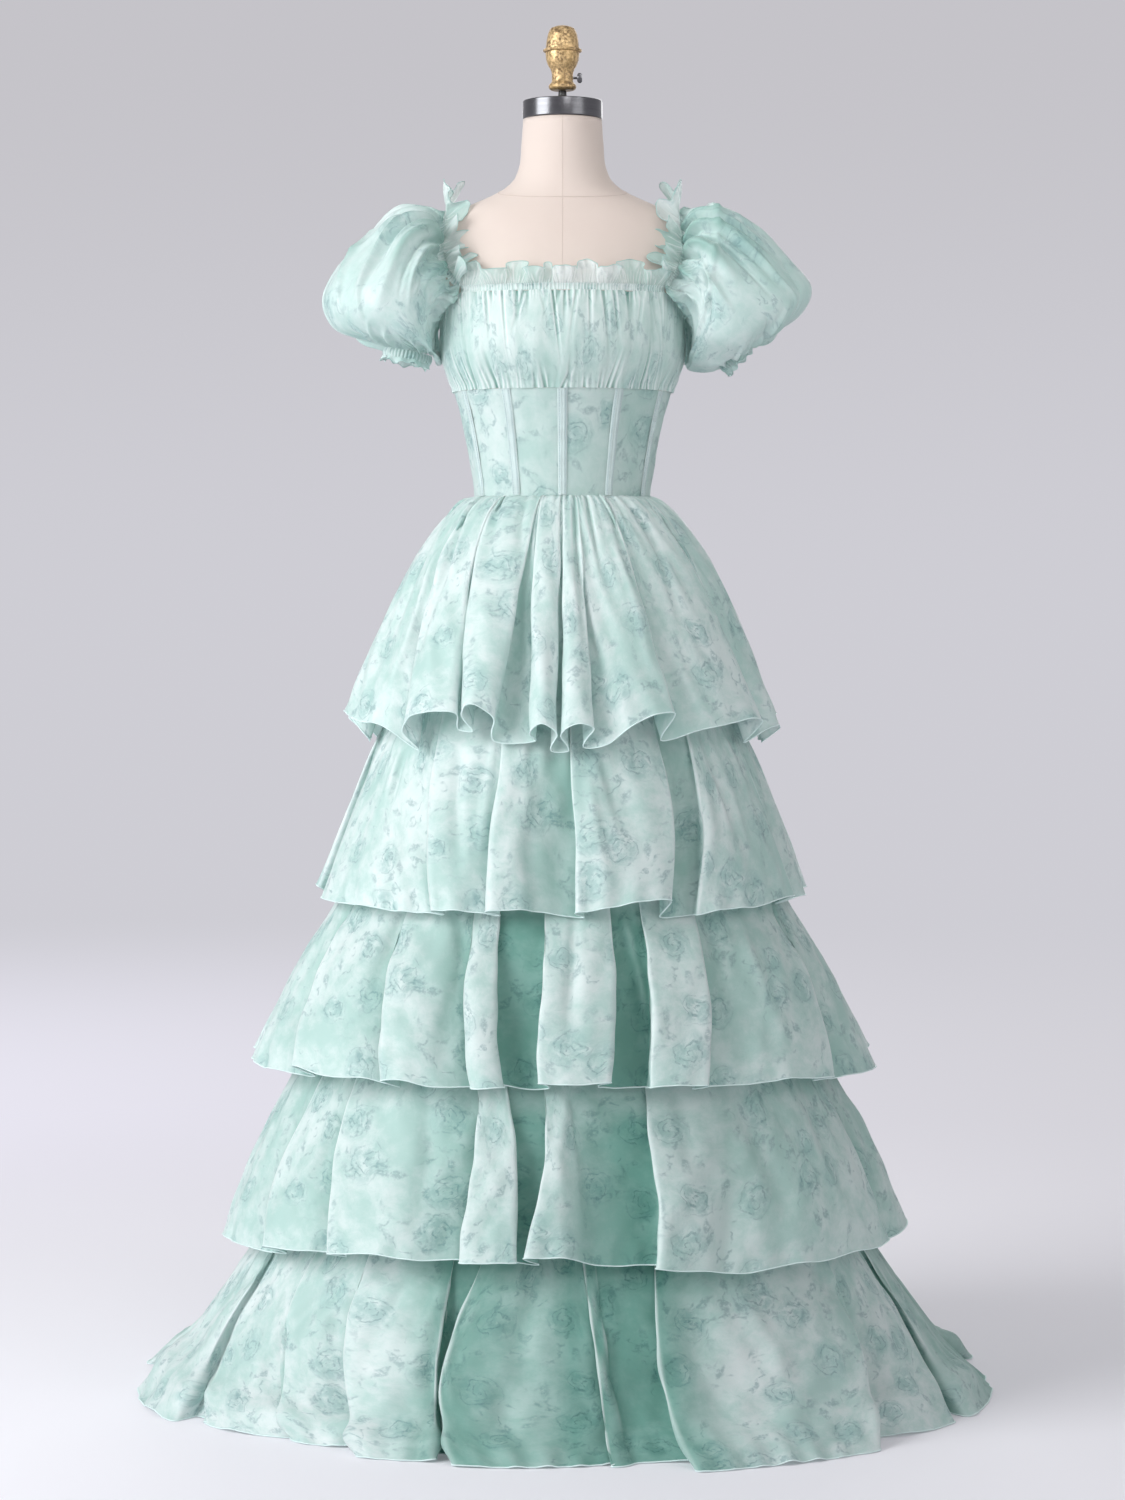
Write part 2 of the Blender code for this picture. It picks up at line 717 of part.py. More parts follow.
def tier_point(tier, column, row):
    """The cloth at one column of folds, on one section."""
    angle, fall, reach, lift = column
    sections = tier["sections"]
    height, half_width, front, back = sections[row]
    down = (sections[0][0] - height) / (sections[0][0] - sections[-1][0])
    eased = down * down * (3 - 2 * down)
    share = tier["gathered"] + (1 - tier["gathered"]) * eased
    scale = (1.0 - fall * share) * (1.0 + reach * down**2)
    drop = tier["hem_drop"] * min(1.0, fall / FULL_FALL)
    level = height + (lift - drop) * down**2
    return oval_point(angle, half_width * scale, front * scale, back * scale, level)


def seam_column(before, after, angle):
    return (angle, *[(a + b) / 2 for a, b in zip(before[1:], after[1:])])


def make_tier(name, tier, finish):
    """A front and a back panel, sewn together at the sides."""
    columns = sorted(
        (angle + 360 if angle < -90 else angle, *rest)
        for angle, *rest in fold_columns(tier["folds"])
    )
    front = [c for c in columns if -89 < c[0] < 89]
    back = [c for c in columns if 91 < c[0] < 269]
    seam = SIDE_SEAM_ANGLE
    panels = {
        "front": (
            seam_column(back[-1], front[0], -90 + seam),
            *front,
            seam_column(front[-1], back[0], 90 - seam),
        ),
        "back": (
            seam_column(front[-1], back[0], 90 + seam),
            *back,
            seam_column(back[-1], front[0], 270 - seam),
        ),
    }
    rows = range(len(tier["sections"]))
    for panel, panel_columns in panels.items():
        grid = [[tier_point(tier, column, row) for column in panel_columns] for row in rows]
        cloth_wall(f"{name}_{panel}", grid, CLOTH, finish)


def make_underskirt(finish):
    seam = SIDE_SEAM_ANGLE
    for name, start, end in (("front", -90, 90), ("back", 90, 270)):
        angles = spread(start + seam, end - seam, 12)
        grid = [[oval_point(angle, *row[1:], row[0]) for angle in angles] for row in UNDERSKIRT]
        cloth_wall(f"underskirt_{name}", grid, CLOTH, finish)


# ---------------------------------------------------------------- zip


def make_zip(tape_finish, metal_finish):
    """A zip on the centre back seam, closed, its slider at the top and its pull hanging."""
    half = math.degrees(ZIP_WIDTH / 2 / BACK_RADIUS)
    heights = spread(ZIP_TOP_Z, ZIP_BOTTOM_Z, 9)
    angles = (180 - half, 180, 180 + half)
    strip = [[figure_point(a, z, zip_out(z)) for a in angles] for z in heights]
    cloth_wall("zip_strip", strip, ZIP_THICK, tape_finish)
    face = zip_face_y()
    size = Vector(ZIP_SLIDER)
    slider = box("zip_slider", size, metal_finish)
    slider.location = (0.0, face + SEAM_GAP + size.y / 2, ZIP_PULL_PIVOT_Z)
    pull = pull_tab(metal_finish)
    pull.location = (0.0, face + 2 * SEAM_GAP + size.y + ZIP_PULL_THICK, ZIP_PULL_PIVOT_Z)


def zip_out(height):
    """The zip clears the gathered back above the underbust seam and the midriff below it."""
    return ZIP_OUT + (ZIP_STEP if height > UNDERBUST_Z - 0.02 else 0.0)


def zip_face_y():
    return figure_point(180, ZIP_PULL_PIVOT_Z, zip_out(ZIP_PULL_PIVOT_Z)).y + ZIP_THICK / 2


def box(name, size, finish):
    shape = bmesh.new()
    bmesh.ops.create_cube(shape, size=1.0)
    bmesh.ops.scale(shape, vec=size, verts=shape.verts)
    bmesh.ops.bevel(shape, geom=shape.edges, offset=0.0005, segments=1, affect="EDGES")
    mesh = bpy.data.meshes.new(name)
    shape.to_mesh(mesh)
    shape.free()
    return link(name, mesh, finish)


def pull_tab(finish):
    """A flat drop with its origin on the pivot at its upper end."""
    top, foot = ZIP_PULL_HALF_WIDTH
    outline = []
    for i in range(12):
        turn = 2 * math.pi * i / 12
        down = (1 - math.cos(turn)) / 2
        side = math.sin(turn) * (top + (foot - top) * down)
        outline.append((side, top - ZIP_PULL_LENGTH * down))
    half = ZIP_PULL_THICK / 2
    rings = [[Vector((x, y, z)) for x, z in outline] for y in (-half, half)]
    return lofted("zip_pull", rings, finish)


# ---------------------------------------------------------------- dress form


def make_form(linen, steel, black, brass, iron):
    rings = []
    for height, half_width, front, back in FIGURE:
        ring = [
            oval_point(angle, half_width, front, back, height, -FORM_CLEARANCE)
            for angle in range(0, 360, 12)
        ]
        rings.append(ring)
    lofted("form_torso", rings, linen)
    turned("form_neck_cap", NECK_CAP, steel)
    turned("form_flange", FLANGE, black, steps=20)
    turned("form_knob", KNOB, brass, steps=24)
    turned("form_pole", POLE, steel, steps=20)
    turned("form_base", BASE, iron)
    make_knob_ring(brass)
    make_thumb_screw(steel)


def make_knob_ring(finish):
    """A bead round the knob's widest part, clear of it."""
    rings = []
    for i in range(24):
        turn = 2 * math.pi * i / 24
        rings.append([
            Vector((
                (KNOB_RING_RADIUS + KNOB_RING_THICK * math.cos(a)) * math.cos(turn),
                (KNOB_RING_RADIUS + KNOB_RING_THICK * math.cos(a)) * math.sin(turn),
                KNOB_RING_Z + KNOB_RING_THICK * math.sin(a),
            ))
            for a in (math.pi * (0.125 + 0.25 * k) for k in range(8))
        ])
    count = len(rings[0])
    points = [p for ring in rings for p in ring]
    faces = []
    for r in range(len(rings)):
        for c in range(count):
            here, ahead = r * count, (r + 1) % len(rings) * count
            beside = (c + 1) % count
            faces.append((here + c, ahead + c, ahead + beside, here + beside))
    mesh = bpy.data.meshes.new("form_knob_ring")
    mesh.from_pydata(points, [], faces)
    shape = bmesh.new()
    shape.from_mesh(mesh)
    bmesh.ops.recalc_face_normals(shape, faces=shape.faces)
    shape.to_mesh(mesh)
    shape.free()
    link("form_knob_ring", mesh, finish)


def make_thumb_screw(finish):
    """A wing screw that clamps the knob on its stem: a round shank that flattens to a wing."""
    turns = [2 * math.pi * i / 12 for i in range(12)]
    rings = []
    for out, half_thick, half_height in SCREW_RINGS:
        ring = [Vector((out, half_thick * math.cos(t), half_height * math.sin(t))) for t in turns]
        rings.append(ring)
    made = lofted("thumb_screw", rings, finish)
    made.location = (0.0, 0.0, SCREW_Z)


# ---------------------------------------------------------------- the whole


def build():
    clear_scene()
    organza = material("organza", (0.52, 0.74, 0.69), 0.55)
    lining = material("lining", (0.30, 0.52, 0.46), 0.60)
    channel = material("channel", (0.50, 0.66, 0.66), 0.60)
    linen = material("linen", (0.80, 0.70, 0.62), 0.85)
    steel = material("steel", (0.60, 0.60, 0.62), 0.30, 1.0)
    black = material("black_metal", (0.03, 0.03, 0.03), 0.40)
    brass = material("brass", (0.56, 0.42, 0.24), 0.45, 0.6)
    iron = material("iron", (0.08, 0.08, 0.09), 0.55)
    make_bust(organza)
    make_midriff(organza, channel)
    make_neck_edges(organza)
    make_sleeves(organza)
    for name, tier in TIERS.items():
        make_tier(name, tier, organza)
    make_underskirt(lining)
    make_zip(lining, steel)
    make_form(linen, steel, black, brass, iron)


build()
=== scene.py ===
"""Looks of a tiered prom dress on its dress form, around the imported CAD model.

Each piece of cloth is modelled again as one thin sheet, from the same tables as its solid, with
its gathers, creases, rolled hems and flower print.  Metres, +Z up, the dress faces -Y.  Angles
run round the pole in degrees: 0 is centre front, 90 is the wearer's left (+X), 180 the back.
"""

import math
from typing import NamedTuple

import bpy
import numpy as np
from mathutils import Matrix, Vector


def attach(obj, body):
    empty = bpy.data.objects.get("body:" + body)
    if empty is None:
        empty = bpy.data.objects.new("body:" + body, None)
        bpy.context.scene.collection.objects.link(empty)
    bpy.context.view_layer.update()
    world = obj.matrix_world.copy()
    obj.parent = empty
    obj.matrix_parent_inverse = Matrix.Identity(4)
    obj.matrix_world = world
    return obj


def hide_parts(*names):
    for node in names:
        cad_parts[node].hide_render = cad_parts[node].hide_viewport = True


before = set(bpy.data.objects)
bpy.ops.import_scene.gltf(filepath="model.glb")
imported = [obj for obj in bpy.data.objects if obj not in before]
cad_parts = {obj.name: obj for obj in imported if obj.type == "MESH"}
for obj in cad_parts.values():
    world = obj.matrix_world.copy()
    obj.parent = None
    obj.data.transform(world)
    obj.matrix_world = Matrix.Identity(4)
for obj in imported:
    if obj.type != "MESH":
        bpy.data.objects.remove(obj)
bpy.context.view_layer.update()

# ---------------------------------------------------------------- sizes shared with the solids

WAIST_Z = 1.130
UNDERBUST_Z = 1.262
NECKLINE_Z = 1.386
UNDERARM_Z = 1.352
BACK_NECK_Z = 1.402
CORNER_ANGLE = 52
SIDE_ANGLE = 90
BACK_CORNER_ANGLE = 132
BODICE_OUT = 0.0012
BUST_OUT = 0.0030
BUST_BLOUSE = 0.0055
BACK_BLOUSE = 0.0030
CASING_OUT = 0.0046
CASING_HEIGHT = 0.009
CASING_THICK = 0.0030
FRILL_HEIGHT = 0.018
SHOULDER_FRILL_HEIGHT = 0.023
FRILL_LEAN = 0.12
FORM_CLEARANCE = 0.004
BONE_WIDTH = 0.011
FLOOR_Z = 0.0012

FIGURE = (
    # height, half_width, front, back
    (0.87, 0.15, 0.104, 0.108),
    (0.9, 0.158, 0.11, 0.116),
    (0.95, 0.156, 0.11, 0.117),
    (1, 0.146, 0.106, 0.11),
    (1.05, 0.129, 0.099, 0.097),
    (1.095, 0.114, 0.092, 0.086),
    (1.13, 0.11, 0.09, 0.082),
    (1.18, 0.1165, 0.095, 0.084),
    (1.23, 0.1265, 0.104, 0.088),
    (1.27, 0.137, 0.117, 0.093),
    (1.31, 0.1475, 0.126, 0.097),
    (1.345, 0.1485, 0.123, 0.099),
    (1.385, 0.151, 0.112, 0.1),
    (1.42, 0.158, 0.1, 0.099),
    (1.45, 0.16, 0.088, 0.096),
    (1.475, 0.152, 0.078, 0.09),
    (1.485, 0.142, 0.073, 0.087),
    (1.494, 0.126, 0.068, 0.081),
    (1.503, 0.105, 0.063, 0.075),
    (1.514, 0.082, 0.059, 0.069),
    (1.526, 0.067, 0.057, 0.064),
    (1.54, 0.06, 0.055, 0.06),
    (1.575, 0.0555, 0.054, 0.055),
    (1.6035, 0.0535, 0.0535, 0.0535),
)


class Back(NamedTuple):
    """How a tier wears the folds and creases that all tiers share at the back."""

    stretch: float
    sway: float
    gap: float
    lift: float
    crease_depth: float
    crease_width: float


class Fold(NamedTuple):
    """A crest of cloth between two angles at the hem, and between two more at the tier's top."""

    start: float
    end: float
    top_start: float
    top_end: float
    style: str  # how it lies over its neighbours
    gap: float  # how far the cloth falls back after it
    reach: float  # how far it reaches out at the hem
    lift_from: float
    lift_to: float


class Tier(NamedTuple):
    """One tier of the skirt, front and back.

    Angles are in degrees, gaps and reaches are shares of the radius, and places down the tier
    shares of its length.  Lifts, depths, half widths and a lobe's height are in millimetres.
    """

    sections: tuple  # height, half_width, front, back
    hem_drop: float  # how much lower the deepest valleys hang
    layers_and_valley_shade: float  # how much painted shade, partly the green of cloth in layers, the cloth gets where it falls back
    layers_and_side_shade: tuple  # angle, painted shade there where a side or a recess gets less light, partly the green of the layers beneath
    wander: float  # how many degrees its folds stray between top and hem
    back: Back
    creases: tuple  # soft troughs and, with a depth below 0, ridges
    folds: tuple  # rows of Fold
    bows: tuple = ((-90, 0), (270, 0))  # angle, how far the folds there bow aside halfway down
    lobes: tuple = ()  # rounded swellings
    gathered: float = 0.0  # share of the folds' depth that shows at the tier's top


BACK_LOBES = (112, 150, 178, 208, 244)
TIER_1 = Tier(
    sections=(
        # height, half_width, front, back
        (1.13, 0.1118, 0.0918, 0.0838),
        (1.1285, 0.119, 0.0972, 0.0905),
        (1.118, 0.135, 0.109, 0.105),
        (1.07, 0.174, 0.142, 0.144),
        (0.97, 0.225, 0.184, 0.193),
        (0.85, 0.272, 0.228, 0.243),
    ),
    hem_drop=0.032,
    layers_and_valley_shade=0.24,
    layers_and_side_shade=((-90, 0), (90, 0.04), (270, 0)),
    wander=1,
    back=Back(0.98, 3, 0.11, 2.5, 6, 8.5),
    gathered=0.18,
    creases=(
        # angle, down, angle, down, angle, down, depth, half_width
        (7.5, 0.1, 7, 0.35, 9, 0.8, 6, 6),
        (17, 0.02, 16, 0.16, 17.5, 0.4, 6, 5),
        (29, 0.02, 29, 0.14, 28, 0.34, 5.5, 6),
        (25, 0.3, 29, 0.52, 29.5, 0.86, -5, 8),
        (44, 0.04, 47, 0.3, 45, 0.85, 6, 9),
        (61, 0.1, 66, 0.45, 67, 0.92, 6.5, 9),
        (-26, 0.02, -24, 0.14, -19, 0.32, 6.5, 5.5),
        (-44, 0.04, -37, 0.22, -35, 0.5, 6.5, 7),
        (-36, 0.35, -38, 0.62, -37, 0.95, -4, 7),
        (-65, 0.05, -54, 0.38, -55, 0.95, 7.5, 9),
        (-84, 0.06, -73, 0.4, -74, 0.95, 7, 10),
        (-66, 0.3, -64, 0.6, -65, 0.95, -4.5, 7),
    ),
    folds=(
        (-83, -51, -84, -62, "left_over", 0.1, 0.01, 10, 4),
        (-47.4, -29.6, -59, -40.5, "tube", 0.11, 0.01, 2, 24),
        (-28, -18.9, -38.5, -13.8, "tube", 0.14, 0.01, 26, 22),
        (-8.4, -1.4, -11.5, -1.6, "tube", 0.13, 0.01, 4, 1),
        (0.4, 7.8, 0.6, 8, "tube", 0.08, 0.02, 1, 3),
        (11.5, 29.8, 9.5, 24.5, "right_over", 0.08, 0.01, -4, 16),
        (33, 64.6, 26.5, 58, "right_over", 0.08, 0.01, 2, 4),
        (69, 84, 62, 84, "right_over", 0.08, 0.01, -1, -8),
    ),
)
TIER_2 = Tier(
    sections=(
        (0.905, 0.196, 0.16, 0.17),
        (0.85, 0.224, 0.176, 0.192),
        (0.745, 0.269, 0.215, 0.236),
        (0.635, 0.308, 0.254, 0.28),
    ),
    hem_drop=0.012,
    layers_and_valley_shade=0.8,
    layers_and_side_shade=((-90, 0), (90, 0.04), (270, 0)),
    wander=1.1,
    bows=((-90, 0), (-48, -1.2), (-10, -0.6), (20, 1.6), (60, 1.6), (90, 0), (270, 0)),
    lobes=(
        # angle, down, height, angle_width, down_width
        (-58, 0.86, 6, 12, 0.1),
        (12, 0.8, 5, 6, 0.14),
        (20, 0.55, -4, 3, 0.2),
    ),
    back=Back(1.02, -8, 0.05, 1, 5, 9),
    creases=(
        (-38, 0.36, -35, 0.58, -29, 0.9, 5.5, 8),
        (-60, 0.3, -60, 0.6, -57, 0.98, 5, 9),
        (-26, 0.3, -26, 0.6, -25, 0.95, -3.5, 6),
        (14, 0.34, 16.5, 0.52, 19, 0.72, 4.5, 7),
        (9, 0.45, 11, 0.7, 12, 0.98, -3.5, 7),
        (43, 0.34, 43, 0.66, 37, 0.92, 5.5, 9),
        (55, 0.3, 56, 0.6, 58, 0.98, 4, 9),
        (66, 0.3, 66, 0.62, 66.5, 0.98, -3.5, 7),
    ),
    folds=(
        (-79, -33, -70, -47, "left_over", 0.05, 0, -6, -9),
        (-31, -19.5, -44, -22, "left_over", 0.06, 0, -8, -5),
        (-17.2, -6.5, -19, -9, "left_over", 0.1, 0, -6, -2),
        (3.3, 25.9, 2.4, 29.5, "flat", 0.082, 0.01, -4, 5),
        (32, 68.7, 43, 66, "flat", 0.06, 0.01, -13, 1),
        (73, 85, 74, 85, "right_over", 0.05, 0, -4, -3),
    ),
)
TIER_3 = Tier(
    sections=(
        (0.695, 0.245, 0.199, 0.223),
        (0.625, 0.285, 0.22, 0.248),
        (0.55, 0.333, 0.269, 0.301),
        (0.425, 0.394, 0.325, 0.365),
    ),
    hem_drop=0.009,
    layers_and_valley_shade=1,
    layers_and_side_shade=((-90, 0.04), (0, 0.06), (90, 0.1), (270, 0.04)),
    wander=1.4,
    bows=((-90, 0), (-50, -1.8), (-14, -1), (20, 1.4), (60, 1.4), (90, 0), (270, 0)),
    lobes=(
        (-70, 0.86, 7, 9, 0.1),
        (-46, 0.88, 5, 6, 0.09),
        (2, 0.62, -4, 2.5, 0.16),
    ),
    back=Back(0.98, 7, 0.085, 1, 5, 10),
    creases=(
        (-51, 0.28, -49.5, 0.54, -49, 0.95, 5.5, 9),
        (-33, 0.28, -28.5, 0.48, -30, 0.85, 5, 8),
        (-72, 0.28, -73, 0.6, -70, 0.98, 5, 10),
        (3.5, 0.26, 2.5, 0.54, 0.5, 0.88, 4.5, 7),
        (20, 0.3, 22, 0.6, 22, 0.95, -3.5, 7),
        (45, 0.28, 42.5, 0.56, 41, 0.9, 5, 10),
        (54, 0.3, 52, 0.6, 52.5, 0.98, -4, 8),
        (70, 0.28, 72, 0.6, 71, 0.98, 5, 9),
    ),
    folds=(
        (-84, -60, -85, -71, "left_over", 0.07, 0, 0, -2),
        (-57.1, -36, -68, -45.5, "left_over", 0.08, 0, 6, 3),
        (-33.8, -20.5, -43.5, -26.5, "left_over", 0.09, 0, 1, 3),
        (-17, -10.5, -23.5, -17.5, "tube", 0.12, 0, 1, 3),
        (-4.3, 8.5, -4.3, 12.5, "flat", 0.12, 0, 5, 8),
        (15.2, 26.2, 21, 35.5, "flat", 0.07, 0, 1, 0),
        (29.5, 57.9, 39, 69, "right_over", 0.07, 0, 1, -4),
        (61.5, 84, 73, 85, "right_over", 0.07, 0.01, -6, -11),
    ),
)
TIER_4 = Tier(
    sections=(
        (0.475, 0.3, 0.243, 0.28),
        (0.42, 0.334, 0.272, 0.308),
        (0.315, 0.39, 0.319, 0.366),
        (0.205, 0.43, 0.36, 0.42),
    ),
    hem_drop=0.009,
    layers_and_valley_shade=1,
    layers_and_side_shade=((-90, 0.06), (-10, 0.14), (90, 0.14), (270, 0.06)),
    wander=1.5,
    bows=((-90, 0), (-50, -1.4), (-10, 0.8), (25, 1.6), (60, 1.6), (90, 0), (270, 0)),
    lobes=(
        (-72, 0.84, 6, 9, 0.1),
        (-30, 0.86, 5, 6, 0.1),
        (46, 0.84, 6, 9, 0.1),
    ),
    back=Back(0.99, -5, 0.07, 1.5, 5, 11),
    creases=(
        (28.5, 0.22, 28.5, 0.4, 28, 0.62, 5, 10),
        (-52, 0.28, -50, 0.6, -49, 0.96, 5, 9),
        (-33, 0.3, -30, 0.62, -31, 0.96, 4.5, 9),
        (-72, 0.28, -71, 0.6, -73, 0.96, 5, 10),
        (0, 0.3, -1, 0.62, 0, 0.95, -3, 8),
        (44, 0.28, 46, 0.6, 47, 0.95, 5, 11),
        (58, 0.28, 60, 0.6, 60, 0.95, -4, 9),
    ),
    folds=(
        (-84, -61, -84.5, -66, "left_over", 0.06, 0, -3, 2),
        (-58.5, -43.5, -61, -50.5, "left_over", 0.07, 0, 8, 16),
        (-41.4, -19.5, -48.5, -23, "left_over", 0.08, 0, 16, 21),
        (-17, -7.4, -19.8, -14, "flat", 0.09, 0, 18, 18),
        (-6.2, 4.5, -4.5, 2.4, "left_over", 0.09, -0.01, 25, 20),
        (15, 25, 18.8, 34, "left_over", 0.035, 0.01, 11, 3),
        (28.5, 68.7, 40, 68, "right_over", 0.06, 0.01, 1, 6),
        (72, 84, 72.5, 84.5, "right_over", 0.05, 0.02, 6, 16),
    ),
)
TIER_5 = Tier(
    sections=(
        (0.255, 0.346, 0.286, 0.337),
        (0.205, 0.38, 0.308, 0.364),
        (0.115, 0.445, 0.365, 0.445),
        (0.04, 0.505, 0.415, 0.55),
        (FLOOR_Z, 0.55, 0.458, 0.66),
    ),
    hem_drop=0,
    layers_and_valley_shade=1,
    layers_and_side_shade=(
        (-90, 0.08), (-23, 0.2), (-17, 0.98), (-11, 0.86), (2, 0.82),
        (6, 1.35), (14, 1.35), (18, 0.78), (90, 0.75), (270, 0.08),
    ),
    wander=1.2,
    bows=(
        (-90, -1), (-60, -5), (-31, -5), (-18, 0.8), (-14, -4.4), (4, -0.5),
        (15, -2.6), (42, 4), (62, 5), (90, 0), (270, -1),
    ),
    lobes=(
        *((angle, 0.87, 13, 10, 0.085) for angle in BACK_LOBES),
        (-88, 0.8, 16, 12, 0.11),
        (-68, 0.84, 10, 6, 0.09),
        (-52, 0.87, 14, 6, 0.08),
        (-36, 0.9, 14, 5, 0.07),
        (-22, 0.9, 10, 4, 0.07),
        (-5, 0.92, 6, 6, 0.06),
        (28, 0.88, 10, 9, 0.09),
        (56, 0.84, 12, 6, 0.09),
        (80, 0.84, 14, 7, 0.09),
    ),
    back=Back(0.92, 9, 0.068, 0, 6, 12),
    creases=(
        (-50, 0.24, -56, 0.52, -50, 0.9, 6, 10),
        (-34, 0.24, -37, 0.52, -33, 0.88, 6, 9),
        (-26, 0.24, -27, 0.55, -22, 0.9, -4, 8),
        (-6, 0.22, -8, 0.46, -7, 0.76, 7, 12),
        (-11, 0.6, -9, 0.78, -4, 0.96, 6, 10),
        (26, 0.24, 26, 0.56, 27, 0.92, 5, 14),
        (37, 0.24, 39, 0.56, 35, 0.92, -5, 11),
        (58, 0.24, 62, 0.52, 57, 0.9, 5, 10),
        (77, 0.24, 80, 0.52, 76, 0.9, 6, 10),
        (-74, 0.24, -80, 0.52, -74, 0.9, 6, 11),
    ),
    folds=(
        (-98, -63, -95, -68.5, "tube", 0.05, -0.02, 0, 0),
        (-60, -45, -65.5, -55, "left_over", 0.07, -0.08, 0, 0),
        (-42, -31, -52, -41, "left_over", 0.07, -0.11, 0, 0),
        (-28, -17, -38.5, -20.8, "flat", 0.1, -0.06, 0, 0),
        (-14.2, 3.5, -13.4, 1.5, "left_over", 0.04, -0.04, 0, 0),
        (6, 10, 3.5, 6.5, "left_over", 0.05, -0.05, 0, 0),
        (15.8, 42, 18.2, 58.5, "flat", 0.08, 0.03, 0, 0),
        (47, 63, 64, 73, "right_over", 0.07, -0.02, 0, 0),
        (67, 99, 77, 97, "flat", 0.06, -0.01, 0, 0),
    ),
)
TIERS = (TIER_1, TIER_2, TIER_3, TIER_4, TIER_5)
BACK_FOLDS = (
    # from, to, top_from, top_to, style, reach, lift_from, lift_to
    (96, 117, 97, 119, "left_over", 0.01, 3, 0),
    (126, 146, 128, 147, "flat", 0, -4, 2),
    (155, 176, 153, 174, "right_over", 0.01, 3, 1),
    (185, 204, 182, 206, "flat", 0, -1, 3),
    (213, 235, 215, 234, "left_over", 0, 4, 0),
    (245, 265, 243, 264, "right_over", 0.01, -3, 2),
)
BACK_CREASES = (
    # angle at 0.30, 0.60 and 0.95 of the way down
    (107, 105, 108),
    (137, 139, 135),
    (165, 168, 164),
    (195, 192, 196),
    (224, 227, 223),
    (254, 250, 253),
)
FOLD_STYLES = {
    # peak (share of the crest's width), fall at its from and to edges (share of the gap), and
    # how far the cloth tucks under each edge in degrees; None is a slope with no tuck
    "tube": (0.45, 0.32, 0.32, 1.9, 1.9),
    "flat": (0.4, 0.14, 0.14, 1.6, 1.6),
    "left_over": (0.16, 0.06, 0.72, 1.6, None),
    "right_over": (0.84, 0.72, 0.06, None, 1.6),
}
FULL_FALL = 0.10  # a fall this deep hangs the whole hem_drop lower

UNDERSKIRT = (
    # height, half_width, front, back
    (1.12, 0.1125, 0.0915, 0.0845),
    (1, 0.15, 0.114, 0.118),
    (0.905, 0.186, 0.15, 0.16),
    (0.475, 0.289, 0.233, 0.27),
    (0.255, 0.334, 0.273, 0.323),
    (0.07, 0.356, 0.292, 0.345),
)

SHOULDER_LINE = (
    # x, y, z, lean_x, lean_y, lean_z
    (0.1285, -0.07, 1.389, -0.3, -0.35, 0.9),
    (0.144, -0.06, 1.41, -0.75, -0.45, 0.45),
    (0.151, -0.048, 1.43, -0.85, -0.4, 0.35),
    (0.15, -0.037, 1.458, -0.78, -0.42, 0.5),
    (0.148, -0.0185, 1.483, -0.5, -0.25, 0.85),
    (0.1465, 0.002, 1.493, -0.25, 0, 0.97),
    (0.1475, 0.0225, 1.487, -0.4, 0.1, 0.9),
    (0.1485, 0.0425, 1.466, -0.6, 0.35, 0.7),
    (0.144, 0.062, 1.438, -0.6, 0.45, 0.65),
    (0.134, 0.073, 1.418, -0.35, 0.4, 0.85),
    (0.124, 0.0785, 1.406, -0.1, 0.3, 0.95),
)
UNDERARM_LINE = (
    # x, y, z
    (0.132, -0.07, 1.379),
    (0.147, -0.0525, 1.364),
    (0.1555, -0.03, 1.3545),
    (0.157, 0, 1.352),
    (0.156, 0.028, 1.356),
    (0.151, 0.056, 1.369),
    (0.1375, 0.076, 1.391),
)
SLEEVES = {
    "left": (
        # outer_x, outer_z, inner_x, inner_z, half_depth
        (0.172, 1.4955, 0.16, 1.331, 0.096),
        (0.206, 1.496, 0.1575, 1.306, 0.109),
        (0.25, 1.47, 0.157, 1.292, 0.114),
        (0.288, 1.43, 0.175, 1.286, 0.111),
        (0.316, 1.392, 0.188, 1.286, 0.098),
        (0.302, 1.358, 0.194, 1.288, 0.073),
        (0.233, 1.334, 0.197, 1.296, 0.037),
    ),
    "right": (
        (0.172, 1.492, 0.16, 1.329, 0.096),
        (0.208, 1.493, 0.1575, 1.306, 0.109),
        (0.25, 1.456, 0.156, 1.3, 0.113),
        (0.284, 1.422, 0.1555, 1.302, 0.111),
        (0.304, 1.381, 0.157, 1.306, 0.1),
        (0.292, 1.344, 0.158, 1.311, 0.076),
        (0.223, 1.321, 0.165, 1.309, 0.037),
    ),
}
SLEEVE_COLUMNS = 20
SHOULDER_COLUMNS = 13
CUFF_FRILL_HEIGHT = 0.006

# ---------------------------------------------------------------- sizes of the looks alone

TIER_PITCH = 0.0043  # spacing of a tier's points along its hem
TIER_ROWS = 52
FULL_FROM = 0.8  # share of a tier's length from which its folds have their whole depth
SHADE_FROM = 0.12  # how deep a fold is where its painted valley shade starts, counted in steps of the next value
SHADE_STEP = 0.040
GATHERED_OUT = 0.0012  # how far gathered cloth stands out between its furrows
SLEEVE_OUT = 0.0030
HEM_BEAD = 0.0009  # radius of a rolled hem
FRILL_BEAD = 0.0005
FOLD_RADIUS = 0.0045  # cloth bent as sharply as this gets the whole painted highlight along its fold edge
LINING_IN = 0.005  # the underskirt hangs this far inside its solid, clear of the deepest folds
CREASE_SCALE = 0.0045  # metres of cloth in one degree round a tier, for its creases
NECK_END = 55.0  # the front casing and its frill run to this angle on both sides
BACK_EDGE = 179.9  # the back's pieces end just short of the zip
BUST_SEAM = 88.2  # the angle where the bust's front and back pieces meet, at both sides
SEAM_DEPTH = 0.0007  # how deep a seam, or a line of stitches, sinks into the midriff
SEAM_WIDTH = 0.0012
MIDRIFF_RADIUS = 0.115  # turns a channel's width into degrees
PUCKER_PITCH = 0.0065
BONE_STITCH = 0.0032  # pitch of the stitches, each of which is this share of it long
STITCH_SHARE = 0.62
STITCH_LINE = 0.62  # where the stitches run, as a share of half a channel's width
ZIP_TOP_Z = 1.390
ZIP_BOTTOM_Z = 1.137
